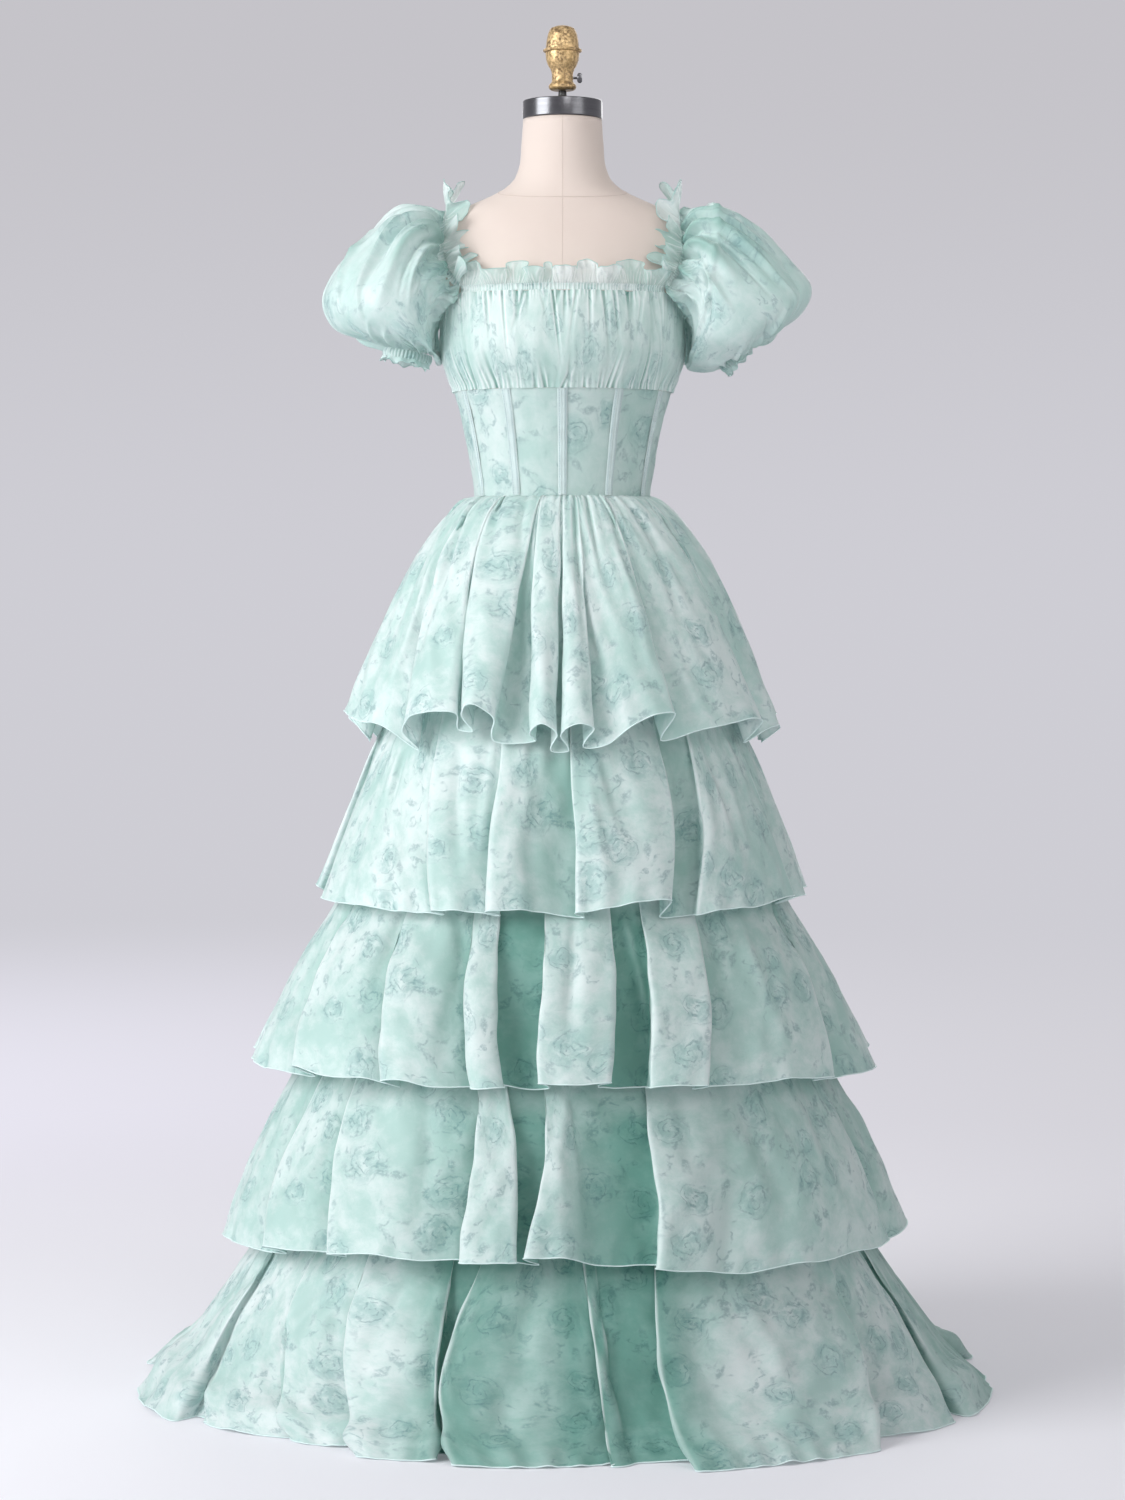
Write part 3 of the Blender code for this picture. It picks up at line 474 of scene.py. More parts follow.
ZIP_SLIDER_Z = 1.357  # the teeth show below the hanging pull
ZIP_FACE = 0.0042  # the strip's outer face on the midriff, out from the figure
ZIP_STEP = 0.0055
ZIP_TOOTH = 0.0017
ZIP_PITCH = 0.0021
CREASES_DEEPER = 1.35  # the sleeves' creases against their table
CREASES_NARROWER = 0.82
CUFF_COLUMNS = 240
CUFF_WAVES = {"left": 22, "right": 20}
SLEEVE_PRINT = {"left": (0.0, 0.0), "right": (0.37, 0.21)}  # each shows another part of the print

# Rows of gathers.  Half width is a share of the pitch.
WAIST_GATHERS = (
    # seed's step, upwards, pitch, lengths, depths, half_width, lean
    (0, False, 0.021, (0.03, 0.13), (0.0012, 0.0036), 0.24, 0.12),
)
BUST_GATHERS = (
    (0, False, 0.0078, (0.03, 0.13), (0.0004, 0.0033), 0.27, 0.16),
    (1, True, 0.0082, (0.03, 0.11), (0.0005, 0.004), 0.26, 0.16),
    (2, False, 0.0038, (0.01, 0.03), (0.0003, 0.0013), 0.3, 0.06),
)
SLEEVE_GATHERS = (
    (0, False, 0.015, (0.05, 0.16), (0.0012, 0.006), 0.25, 0.2),
    (4, False, 0.0085, (0.04, 0.13), (0.001, 0.0042), 0.24, 0.2),
    (1, False, 0.0048, (0.018, 0.045), (0.001, 0.0028), 0.28, 0.1),
    (2, True, 0.01, (0.02, 0.08), (0.001, 0.0042), 0.25, 0.2),
)

# Creases of each sleeve, listed as soft troughs and, with a depth below 0, as ridges.
# Each runs through three places: the turn round the sleeve in degrees (0 is its top, 90 its
# front, 180 underneath) and the share of its length.  Depth and half width are in millimetres.
SLEEVE_CREASES = {
    "left": (
        # turn, down, turn, down, turn, down, depth, half_width
        (30, 0.02, 33, 0.22, 18, 0.48, 6, 8),
        (40, 0.02, 44, 0.28, 30, 0.56, -5, 6.5),
        (49, 0.02, 52, 0.3, 46, 0.6, 8, 9),
        (58, 0.02, 57, 0.26, 61, 0.62, -5.5, 6),
        (66, 0.03, 74, 0.22, 82, 0.44, 10, 12),
        (72, 0.02, 88, 0.16, 117, 0.42, -6, 6.5),
        (84, 0.02, 98, 0.11, 112, 0.28, 8, 7),
        (100, 0.02, 122, 0.1, 140, 0.3, -4.5, 5),
        (112, 0.01, 134, 0.07, 158, 0.16, 6.5, 6),
        (96, 0.86, 80, 0.75, 60, 0.66, 6, 5),
        (70, 0.98, 62, 0.86, 66, 0.74, 5, 6),
        (120, 0.98, 124, 0.82, 112, 0.66, 5.5, 7),
        (150, 0.96, 146, 0.76, 152, 0.56, 5, 8),
        (200, 0.1, 206, 0.4, 198, 0.8, 5, 9),
        (236, 0.02, 228, 0.24, 222, 0.56, 7.5, 9),
        (250, 0.02, 254, 0.28, 246, 0.5, -4.5, 6.5),
        (266, 0.02, 268, 0.26, 276, 0.62, 7.5, 9),
        (292, 0.02, 288, 0.22, 304, 0.48, 6.5, 8),
        (318, 0.02, 326, 0.26, 322, 0.6, 7, 9),
        (340, 0.02, 346, 0.2, 356, 0.4, 5, 7),
        (244, 0.98, 252, 0.84, 248, 0.66, 5.5, 7),
        (300, 0.98, 292, 0.82, 298, 0.64, 5, 7),
        (12, 0.02, 8, 0.2, 352, 0.42, 5, 5),
        (20, 0.02, 18, 0.26, 6, 0.55, -4.2, 4.5),
        (36, 0.02, 39, 0.24, 34, 0.5, 5.6, 4.2),
        (45, 0.03, 48, 0.26, 40, 0.66, -4.6, 4),
        (53, 0.02, 56, 0.3, 54, 0.74, 6, 4.6),
        (61, 0.02, 66, 0.24, 72, 0.6, -5, 4.2),
        (78, 0.02, 90, 0.2, 100, 0.5, 6.6, 4.8),
        (92, 0.02, 106, 0.13, 122, 0.38, -4.8, 4),
        (106, 0.01, 126, 0.09, 148, 0.3, 5.8, 4.4),
        (30, 0.55, 44, 0.72, 52, 0.9, -4, 4.5),
        (84, 0.95, 88, 0.8, 86, 0.62, -4, 4.2),
        (108, 0.97, 110, 0.84, 100, 0.7, 5, 4.4),
    ),
    "right": (
        (22, 0.02, 26, 0.2, 12, 0.44, 5.5, 8),
        (36, 0.02, 50, 0.3, 74, 0.66, -6, 7.5),
        (48, 0.02, 63, 0.26, 90, 0.6, 9.5, 11),
        (34, 0.04, 36, 0.28, 26, 0.6, 6, 8),
        (66, 0.02, 78, 0.11, 100, 0.36, -5.5, 6),
        (77, 0.01, 90, 0.09, 110, 0.26, 8, 7),
        (92, 0.02, 116, 0.07, 150, 0.22, -5, 5.5),
        (104, 0.01, 130, 0.05, 162, 0.13, 6.5, 5.5),
        (20, 0.4, 46, 0.62, 74, 0.84, 7, 5.5),
        (96, 0.98, 92, 0.84, 100, 0.68, 5.5, 6.5),
        (70, 0.98, 64, 0.88, 70, 0.78, 4.5, 5.5),
        (124, 0.98, 130, 0.84, 122, 0.62, 6, 7.5),
        (154, 0.96, 148, 0.78, 156, 0.6, 5, 8),
        (206, 0.12, 200, 0.4, 208, 0.82, 5, 9),
        (232, 0.02, 236, 0.26, 226, 0.58, 7, 9),
        (254, 0.02, 250, 0.24, 258, 0.48, -4.5, 6.5),
        (270, 0.02, 264, 0.28, 272, 0.64, 7.5, 9),
        (296, 0.02, 300, 0.24, 290, 0.5, 6.5, 8),
        (322, 0.02, 318, 0.24, 330, 0.56, 6.5, 9),
        (344, 0.02, 340, 0.2, 350, 0.42, 5, 7),
        (250, 0.98, 244, 0.82, 250, 0.66, 5.5, 7),
        (296, 0.98, 304, 0.84, 300, 0.66, 5, 7),
        (14, 0.02, 12, 0.22, 2, 0.46, 5, 5),
        (28, 0.02, 34, 0.24, 50, 0.52, -4.6, 4.5),
        (42, 0.02, 52, 0.22, 66, 0.46, 6, 4.6),
        (55, 0.02, 70, 0.2, 94, 0.44, -5, 4.2),
        (60, 0.02, 76, 0.17, 104, 0.4, 6.2, 4.6),
        (71, 0.02, 84, 0.12, 106, 0.3, -5, 4),
        (84, 0.01, 102, 0.08, 132, 0.24, 6, 4.4),
        (98, 0.01, 124, 0.06, 156, 0.18, -4.4, 4),
        (40, 0.3, 60, 0.52, 84, 0.72, 5.6, 4.6),
        (30, 0.5, 54, 0.7, 84, 0.9, -4.4, 4.4),
        (82, 0.98, 78, 0.84, 84, 0.66, 5, 4.4),
        (110, 0.97, 116, 0.82, 108, 0.66, -4.2, 4.4),
    ),
}

# Petals of the frills: each is a length of frill thrown forward or back of its line.
NECK_PETALS = (
    # width, height, throw
    (0.034, 1.45, 0.9),
    (0.035, 0.98, -0.9),
    (0.027, 1.34, 0.9),
    (0.021, 1, -1),
    (0.011, 1.25, 0.7),
    (0.029, 1.08, -0.8),
    (0.026, 1.4, 1),
    (0.028, 1.1, -0.9),
)
SHOULDER_PETALS = (
    (0.02, 1.35, -1.3),
    (0.017, 1.65, 1),
    (0.014, 1.3, -1.4),
    (0.02, 1.75, 0.9),
    (0.016, 1.35, -1.4),
    (0.021, 1.45, 1.2),
    (0.015, 1.2, -1.1),
)

# ---------------------------------------------------------------- curves and grids


def unit(vectors):
    """The vectors, each brought to length 1."""
    return vectors / np.maximum(np.linalg.norm(vectors, axis=-1, keepdims=True), 1e-12)


def running_total(steps):
    """How far along each point lies, from the steps between them."""
    return np.concatenate([[0.0], np.cumsum(steps)])


def step_lengths(points, axis):
    return np.linalg.norm(np.diff(points, axis=axis), axis=-1)


def ringed(points, closed):
    """A closed grid with its first column once more at the end."""
    return np.concatenate([points, points[:, :1]], axis=1) if closed else points


def smooth_curve(knots, values, places):
    """Values at places along a smooth curve that passes through values at knots."""
    knots = np.asarray(knots, float)
    values = np.asarray(values, float)
    flat = values.reshape(len(values), -1)
    steps = np.diff(knots)[:, None]
    slopes = np.diff(flat, axis=0) / steps
    tangents = np.empty_like(flat)
    tangents[0], tangents[-1] = slopes[0], slopes[-1]
    weights = steps[:-1] + steps[1:]
    tangents[1:-1] = (slopes[:-1] * steps[1:] + slopes[1:] * steps[:-1]) / weights
    places = np.clip(np.asarray(places, float), knots[0], knots[-1])
    first = np.clip(np.searchsorted(knots, places, side="right") - 1, 0, len(knots) - 2)
    span = steps[first]
    t = (places[:, None] - knots[first][:, None]) / span
    result = (
        flat[first] * (1 + 2 * t) * (1 - t) ** 2
        + tangents[first] * span * t * (1 - t) ** 2
        + flat[first + 1] * t * t * (3 - 2 * t)
        + tangents[first + 1] * span * t * t * (t - 1)
    )
    return result.reshape(len(places), *values.shape[1:])


def lengths_along(points):
    """Distance along a line of points, from its first."""
    return running_total(step_lengths(points, 0))


def along_line(points, count):
    """count points evenly spaced on a smooth line through points."""
    points = np.array(points)
    places = lengths_along(points[:, :3])
    return smooth_curve(places, points, np.linspace(0.0, places[-1], count))


def oval_points(angles, half_width, front, back, heights, out=0.0):
    """Points on egg-shaped sections, moved outwards along their normals."""
    turn = np.radians(angles)
    depth = np.where(np.cos(turn) > 0, front, back)
    x, y = half_width * np.sin(turn), -depth * np.cos(turn)
    normal_x, normal_y = np.sin(turn) / half_width, -np.cos(turn) / depth
    size = np.hypot(normal_x, normal_y)
    parts = (x + normal_x / size * out, y + normal_y / size * out, heights)
    return np.stack(np.broadcast_arrays(*parts), axis=-1)


def figure_points(angles, heights, out):
    """Points round the figure, each out from it."""
    angles, heights, out = np.broadcast_arrays(angles, heights, out)
    table = np.array(FIGURE)
    sizes = smooth_curve(table[:, 0], table[:, 1:], heights.ravel()).reshape(*heights.shape, 3)
    return oval_points(angles, sizes[..., 0], sizes[..., 1], sizes[..., 2], heights, out)


def grid_normals(points, closed=False):
    """Outward normals of a grid whose rows run down and whose columns run towards +X."""
    padded = points
    if closed:
        padded = np.concatenate([points[:, -1:], points, points[:, :1]], axis=1)
    normals = unit(np.cross(np.gradient(padded, axis=0), np.gradient(padded, axis=1)))
    return normals[:, 1:-1] if closed else normals


def fold_edges(points):
    """How sharply the cloth turns outwards across its columns, 1 at FOLD_RADIUS."""
    run = np.gradient(points, axis=1)
    step = np.maximum(np.linalg.norm(run, axis=-1), 1e-6)
    bend = np.gradient(grid_normals(points), axis=1)
    turn = (bend * run).sum(axis=-1) / step**2
    return np.clip(turn * FOLD_RADIUS, 0.0, 1.0)


def pushed(points, amount, closed=False):
    """A grid moved along its normals."""
    return points + grid_normals(points, closed) * amount[..., None]


def flat_coordinates(points, closed=False, offset=(0.0, 0.0)):
    """Where each point lies on the flat cloth in metres; a closed grid gets one column more."""
    ring = ringed(points, closed)
    widths = step_lengths(ring, 1)
    across = running_total(widths[np.argmax(widths.sum(axis=1))])
    down = running_total(step_lengths(ring, 0).mean(axis=1))
    u, v = np.meshgrid(across + offset[0], -down + offset[1])
    return np.stack([u, v], axis=-1)


def ripples(u, v, seed, depth, across, down, terms=8):
    """Smooth unevenness about as deep as depth, whose bumps are across by down in size."""
    pick = np.random.default_rng(seed)
    total = 0.0
    for _ in range(terms):
        share_u, share_v = pick.uniform(0.5, 1.4), pick.uniform(-1.2, 1.2)
        phase = pick.uniform(0.0, 2 * math.pi)
        total = total + np.sin(2 * math.pi * (u * share_u / across + v * share_v / down) + phase)
    return depth * total / math.sqrt(terms) * 0.7


def gathers(u, v, width, seed, pitch, lengths, depths, half_width, lean):
    """Depth of the uneven furrows that run down from a gathered edge, each fading out."""
    pick = np.random.default_rng(seed)
    count = max(2, round(width / pitch))
    total = np.zeros(np.broadcast(u, v).shape)
    for i in range(count):
        place = (i + pick.uniform(0.1, 0.9)) * width / count
        length = pick.uniform(*lengths) * pick.uniform(0.6, 1.0)
        depth = depths[0] + (depths[1] - depths[0]) * pick.uniform() ** 1.8
        half = half_width * pitch * pick.uniform(0.7, 1.4)
        aside = u - place - pick.normal(0.0, lean) * v
        fade = np.clip(1.0 - v / length, 0.0, 1.0) ** 1.5
        total += depth * fade * np.exp(-((aside / half) ** 2))
    return total


def rows_of_gathers(u, v, table, seed):
    """Depth of several rows of gathers, which run down from a cloth's top edge or up from its foot."""
    width, length = u[0, -1], v[-1, 0]
    total = 0.0
    for step, upwards, *row in table:
        total = total + gathers(u, length - v if upwards else v, width, seed + step, *row)
    return total


def crease(u, v, places, depth, half_width, steps=24):
    """A soft trough on the flat cloth along a smooth curve through three places."""
    line = smooth_curve([0.0, 0.5, 1.0], places, np.linspace(0.0, 1.0, steps + 1))
    strength = np.sin(math.pi * np.linspace(0.18, 1.0, steps + 1) ** 0.8)
    best = np.full(np.shape(u), np.inf)
    result = np.zeros(np.shape(u))
    for i in range(steps):
        start, run = line[i], line[i + 1] - line[i]
        share = ((u - start[0]) * run[0] + (v - start[1]) * run[1]) / (run @ run)
        near = np.clip(share, 0.0, 1.0)
        away = np.hypot(u - start[0] - near * run[0], v - start[1] - near * run[1])
        taper = strength[i] + (strength[i + 1] - strength[i]) * near
        closer = away < best
        result = np.where(closer, taper * np.exp(-((away / half_width) ** 2)), result)
        best = np.where(closer, away, best)
    return depth * result


def creases(u, v, table, degree, length, deeper=1.0, narrower=1.0):
    """Depth of all the creases in a table, on cloth with so many metres in a degree."""
    total = 0.0
    for *run, depth, half_width in table:
        places = np.array(run).reshape(3, 2) * (degree, length)
        total = total + crease(u, v, places, deeper * depth / 1000, narrower * half_width / 1000)
    return total


# ---------------------------------------------------------------- meshes


def add_mesh(name, vertices, faces, finishes):
    mesh = bpy.data.meshes.new(name)
    mesh.from_pydata(vertices, [], faces)
    for finish in finishes:
        mesh.materials.append(finish)
    mesh.shade_smooth()
    made = bpy.data.objects.new(name, mesh)
    bpy.context.scene.collection.objects.link(made)
    return made


def patch(points, closed=False, finish=0, uv=None, shade=None):
    """A grid of points, its place on the flat cloth, its finish, its painted shade (such as how deep in a
    fold it lies) and a painted highlight on its sharp fold edges.
    """
    if uv is None:
        uv = flat_coordinates(points, closed)
    if shade is None:
        shade = np.zeros(points.shape[:2])
    # A painted highlight along sharp outward bends, on open sheets of the first finish only.
    edges = np.zeros(points.shape[:2]) if closed or finish else 0.6 * fold_edges(points) ** 1.5
    return points, uv, closed, finish, shade, edges


def add_patches(name, patches, finishes):
    """One mesh from several grids, with their flat coordinates as its UV map."""
    vertices, faces, corners, slots, shades, glints = [], [], [], [], [], []
    square = ((0, 0), (1, 0), (1, 1), (0, 1))
    start = 0
    for points, uv, closed, finish, shade, edges in patches:
        rows, columns = points.shape[:2]
        last = columns if closed else columns - 1
        row, column = np.meshgrid(np.arange(rows - 1), np.arange(last), indexing="ij")
        quads = [(row + down) * columns + (column + across) % columns for down, across in square]
        places = [uv[row + down, column + across] for down, across in square]
        vertices.append(points.reshape(-1, 3))
        faces.append(np.stack(quads, axis=-1).reshape(-1, 4) + start)
        corners.append(np.stack(places, axis=-2).reshape(-1, 2))
        slots.append(np.full(row.size, finish))
        shades.append(shade.ravel())
        glints.append(edges.ravel())
        start += rows * columns
    made = add_mesh(name, np.concatenate(vertices).tolist(), np.concatenate(faces).tolist(), finishes)
    layer = made.data.uv_layers.new(name="cloth")
    layer.data.foreach_set("uv", np.concatenate(corners).astype(np.float32).ravel())
    made.data.polygons.foreach_set("material_index", np.concatenate(slots).astype(np.int32))
    # The painted shade and the painted fold-edge highlight go to the mesh as attributes.
    for label, values in (("painted_shade", shades), ("fold_edge_highlight", glints)):
        layer = made.data.attributes.new(label, "FLOAT", "POINT")
        layer.data.foreach_set("value", np.concatenate(values).astype(np.float32))
    return made


def mirrored(points):
    """The grid of the other side, its columns turned round so that it still faces out."""
    return points[:, ::-1] * np.array([-1.0, 1.0, 1.0])


def bead(line, radius, closed=False, sides=6):
    """A round thread along a line of points, as a grid with a ring of sides in each column."""
    if closed:
        run = unit(np.roll(line, -1, axis=0) - np.roll(line, 1, axis=0))
    else:
        run = unit(np.gradient(line, axis=0))
    upright = np.where(np.abs(run[:, 2:3]) > 0.9, [[1.0, 0.0, 0.0]], [[0.0, 0.0, 1.0]])
    first = unit(np.cross(run, upright))
    second = np.cross(run, first)
    turns = np.linspace(0.0, 2 * math.pi, sides + 1)
    return np.stack([line + radius * (first * math.cos(t) + second * math.sin(t)) for t in turns])


def dress_piece(piece, slot, *nodes):
    """A piece that rides on the dress and stands for its CAD nodes."""
    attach(piece, "dress")
    if nodes:
        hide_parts(*nodes)


def add_cloth(name, node, patches, finishes, slot="organza"):
    """A piece of cloth made from its patches, that stands for its CAD node."""
    piece = add_patches(name, patches, finishes)
    dress_piece(piece, slot, node)


# ---------------------------------------------------------------- finishes


class Finish:
    """Shader nodes of a material or a world, each made and joined in one call."""

    def __init__(self, owner):
        owner.use_nodes = True
        self.owner = owner
        self.tree = owner.node_tree
        self.tree.nodes.clear()

    def node(self, kind, inputs=None, **settings):
        made = self.tree.nodes.new("ShaderNode" + kind)
        for name, value in settings.items():
            setattr(made, name, value)
        for socket, value in (inputs or {}).items():
            if isinstance(value, bpy.types.NodeSocket):
                self.tree.links.new(value, made.inputs[socket])
            else:
                made.inputs[socket].default_value = value
        return made

    def first(self, kind, inputs=None, **settings):
        """The first output of a new node."""
        return self.node(kind, inputs, **settings).outputs[0]

    def math(self, operation, a, b=0.0, c=0.0):
        return self.first("Math", {0: a, 1: b, 2: c}, operation=operation)

    def times(self, a, b):
        return self.math("MULTIPLY", a, b)

    def scaled(self, a, factor, plus):
        return self.math("MULTIPLY_ADD", a, factor, plus)

    def vector(self, operation, inputs):
        return self.first("VectorMath", inputs, operation=operation)

    def rise(self, value, start, end, low=0.0, high=1.0):
        """low up to start, high from end on, smooth between."""
        inputs = {"Value": value, "From Min": start, "From Max": end, "To Min": low, "To Max": high}
        return self.first("MapRange", inputs, interpolation_type="SMOOTHSTEP")

    def fall(self, value, start, end):
        """1 up to start, 0 from end on."""
        return self.math("SUBTRACT", 1.0, self.rise(value, start, end))

    def mix(self, share, a, b, **settings):
        return self.node("Mix", {0: share, 6: a, 7: b}, data_type="RGBA", **settings).outputs[2]

    def noise(self, vector, scale, detail=2.0, roughness=0.5):
        inputs = {"Vector": vector, "Scale": scale, "Detail": detail, "Roughness": roughness}
        return self.node("TexNoise", inputs).outputs["Fac"]

    def blotches(self, vector, scale, detail, roughness, start, end):
        """Patches where noise runs high."""
        return self.rise(self.noise(vector, scale, detail, roughness), start, end)

    def bump(self, height, strength, distance):
        return self.first("Bump", {"Height": height, "Strength": strength, "Distance": distance})

    def place(self):
        """Where the surface is, in metres."""
        return self.node("TexCoord").outputs["Object"]

    def cloth(self):
        """Where the surface is on its flat cloth, in metres."""
        return self.first("UVMap", uv_map="cloth")

    def output(self, shader, kind="OutputMaterial"):
        self.node(kind, {"Surface": shader})
        return self.owner


def new_finish(name):
    return Finish(bpy.data.materials.new(name))


PALE = (0.79, 0.87, 0.86, 1.0)
MINT = (0.51, 0.705, 0.66, 1.0)
WASH = (0.36, 0.56, 0.54, 1.0)
STROKE = (0.19, 0.34, 0.36, 1.0)
# Painted shade colour, multiplied in where folds, creases and shaded sides lie.
PAINTED_FOLD_SHADE = (0.33, 0.55, 0.49, 1.0)
# Painted highlight colour for sharp fold edges.
PAINTED_EDGE_HIGHLIGHT = (0.93, 0.98, 0.98, 1.0)
WASH_INK = 0.70  # how strongly each layer of the print covers the one beneath
LINE_INK = 0.60
LEAF_INK = 0.52
ROSE_SCALE = 12.0  # roses in a metre of cloth
ROSE_SIZE = 0.36  # radius of the largest, as a share of its cell
LEAF_SCALE = 27.0


def flower_print(finish, offset, mottle, ink):
    """Loose watercolour roses and sprigs on mottled mint, drawn in flat cloth metres."""
    placed = finish.first("Mapping", {"Vector": finish.cloth(), "Location": (*offset, 0.0)})
    wander = finish.node("TexNoise", {"Vector": placed, "Scale": 30.0, "Detail": 3.0}).outputs["Color"]
    centred = finish.vector("SUBTRACT", {0: wander, 1: (0.5, 0.5, 0.5)})
    shift = finish.vector("SCALE", {0: centred, "Scale": 0.022})
    warped = finish.vector("ADD", {0: placed, 1: shift})

    broad = finish.noise(placed, 7.0, 2.5, 0.55)
    middle = finish.noise(warped, 34.0, 6.0, 0.68)
    blots = finish.rise(finish.scaled(middle, 0.9, broad), 0.96 - mottle, 0.96 + mottle)
    ground = finish.mix(blots, MINT, PALE)

    disc, petals = rose_motif(finish, warped)
    broken = finish.blotches(placed, 210.0, 4.0, 0.7, 0.32, 0.58)
    wash = finish.times(disc, finish.blotches(warped, 70.0, 4.0, 0.7, 0.34, 0.62))
    washed = finish.mix(finish.times(wash, WASH_INK * ink), ground, WASH)
    drawn = finish.times(petals, broken)
    lined = finish.mix(finish.times(drawn, LINE_INK * ink), washed, STROKE)

    near_roses = finish.blotches(placed, 14.0, 2.0, 0.5, 0.42, 0.56)
    short = finish.blotches(placed, 48.0, 2.0, 0.5, 0.48, 0.60)
    stems = finish.times(stem_motif(finish, warped), short)
    sprigs = finish.times(finish.math("MAXIMUM", leaf_motif(finish, warped), stems), near_roses)
    leafy = finish.times(sprigs, broken)
    return finish.mix(finish.times(leafy, LEAF_INK * ink), lined, STROKE)


def cell_motif(finish, vector, scale, randomness):
    """The nearest cell's local place, its distance and two random numbers, in cell sizes."""
    inputs = {"Vector": vector, "Scale": scale, "Randomness": randomness}
    cell = finish.node("TexVoronoi", inputs, voronoi_dimensions="2D").outputs
    away = finish.vector("SUBTRACT", {0: vector, 1: cell["Position"]})
    local = finish.vector("SCALE", {0: away, "Scale": scale})
    chances = finish.node("SeparateColor", {0: cell["Color"]}).outputs
    return local, cell["Distance"], chances[0], chances[1]


def rose_motif(finish, vector):
    """One rose in each cell: its soft disc and the uneven arcs of its petals."""
    local, radius, chance, other = cell_motif(finish, vector, ROSE_SCALE, 0.80)
    parts = finish.node("SeparateXYZ", {0: local}).outputs
    share = finish.math("DIVIDE", radius, finish.scaled(other, 0.12, ROSE_SIZE - 0.08))
    turn = finish.scaled(chance, 6.28, finish.math("ARCTAN2", parts["Y"], parts["X"]))

    def spirals(rings, arms):
        return finish.math("SINE", finish.scaled(share, rings, finish.times(turn, arms)))

    disc = finish.fall(share, 0.45, 1.05)
    warp = finish.scaled(spirals(5.0, 3.0), 0.9, finish.times(spirals(-4.0, 5.0), 0.6))
    wander = finish.times(finish.noise(vector, 85.0, 3.0, 0.6), 9.0)
    shift = finish.math("ADD", finish.math("ADD", warp, turn), wander)
    arcs = finish.rise(finish.math("SINE", finish.scaled(share, 23.0, shift)), 0.35, 0.95)
    gaps = finish.rise(spirals(9.0, 2.0), -0.7, 0.3)
    return disc, finish.times(finish.times(arcs, disc), gaps)


def stem_motif(finish, vector):
    """Thin wandering strokes."""
    height = finish.noise(vector, 30.0, 2.0, 0.5)
    return finish.fall(finish.math("ABSOLUTE", finish.math("SUBTRACT", height, 0.5)), 0.004, 0.038)


def leaf_motif(finish, vector):
    """A small pointed leaf in each cell, turned at random."""
    local, _, chance, _ = cell_motif(finish, vector, LEAF_SCALE, 1.0)
    inputs = {"Vector": local, "Angle": finish.times(chance, 6.28)}
    turned = finish.first("VectorRotate", inputs, rotation_type="Z_AXIS")
    parts = finish.node("SeparateXYZ", {0: turned}).outputs
    along, across = (finish.math("ABSOLUTE", parts[axis]) for axis in "XY")
    return finish.fall(finish.scaled(along, 0.45, across), 0.09, 0.20)


def organza(name, offset, sheer=0.0, mottle=0.24, ink=1.0):
    """Printed organza: soft sheen, light coming through, painted shade where folds lie deep or a side is
    shaded, partly the green of cloth in layers, and a painted highlight on sharp fold edges.
    """
    finish = new_finish(name)
    printed = flower_print(finish, offset, mottle, ink)
    # Painted shade: the print is multiplied towards a dark green where the mesh's attribute says so.
    depth = finish.node("Attribute", attribute_name="painted_shade").outputs["Fac"]
    deep = finish.mix(finish.math("MINIMUM", depth, 1.0), printed, PAINTED_FOLD_SHADE, blend_type="MULTIPLY")
    # Painted highlight: the colour is mixed towards near white along sharp fold edges.
    edge = finish.node("Attribute", attribute_name="fold_edge_highlight").outputs["Fac"]
    colour = finish.mix(edge, deep, PAINTED_EDGE_HIGHLIGHT)
    bump = finish.bump(finish.noise(finish.cloth(), 90.0, 4.0, 0.6), 0.25, 0.0012)
    inputs = {
        "Base Color": colour,
        "Roughness": 0.48,
        "Sheen Weight": 0.20,
        "Sheen Roughness": 0.4,
        "Specular IOR Level": 0.35,
        "Normal": bump,
    }
    face = finish.first("BsdfPrincipled", inputs)
    through = finish.first("BsdfTranslucent", {"Color": colour, "Normal": bump})
    lit = finish.first("MixShader", {0: 0.25, 1: face, 2: through})
    if sheer:
        clear = finish.first("BsdfTransparent", {"Color": (1.0, 1.0, 1.0, 1.0)})
        lit = finish.first("MixShader", {0: sheer, 1: lit, 2: clear})
    return finish.output(lit)


def plain(name, colour, roughness, metallic=0.0, grain=0.0, grain_scale=400.0, spots=0.0):
    """A plain finish with a fine grain and, where asked, darker spots."""
    finish = new_finish(name)
    place = finish.place()
    dark = tuple(channel * (1.0 - spots) for channel in colour)
    shade = finish.mix(finish.blotches(place, 30.0, 4.0, 0.6, 0.35, 0.65), (*dark, 1.0), (*colour, 1.0))
    inputs = {"Base Color": shade, "Roughness": roughness, "Metallic": metallic}
    if grain:
        inputs["Normal"] = finish.bump(finish.noise(place, grain_scale, 3.0, 0.6), grain, 0.0005)
    return finish.output(finish.first("BsdfPrincipled", inputs))


def linen_finish():
    """Cream linen: a plain weave so fine that it shows as grain."""
    finish = new_finish("linen_cover")
    place = finish.place()
    cloudy = finish.noise(place, 9.0, 3.0, 0.5)
    shade = finish.mix(cloudy, (0.63, 0.53, 0.475, 1.0), (0.70, 0.61, 0.555, 1.0))
    stretched = finish.first("Mapping", {"Vector": place, "Scale": (1.0, 1.0, 6.0)})
    bump = finish.bump(finish.noise(stretched, 420.0, 2.0, 0.7), 0.2, 0.0004)
    inputs = {"Base Color": shade, "Roughness": 0.85, "Sheen Weight": 0.15, "Normal": bump}
    return finish.output(finish.first("BsdfPrincipled", inputs))


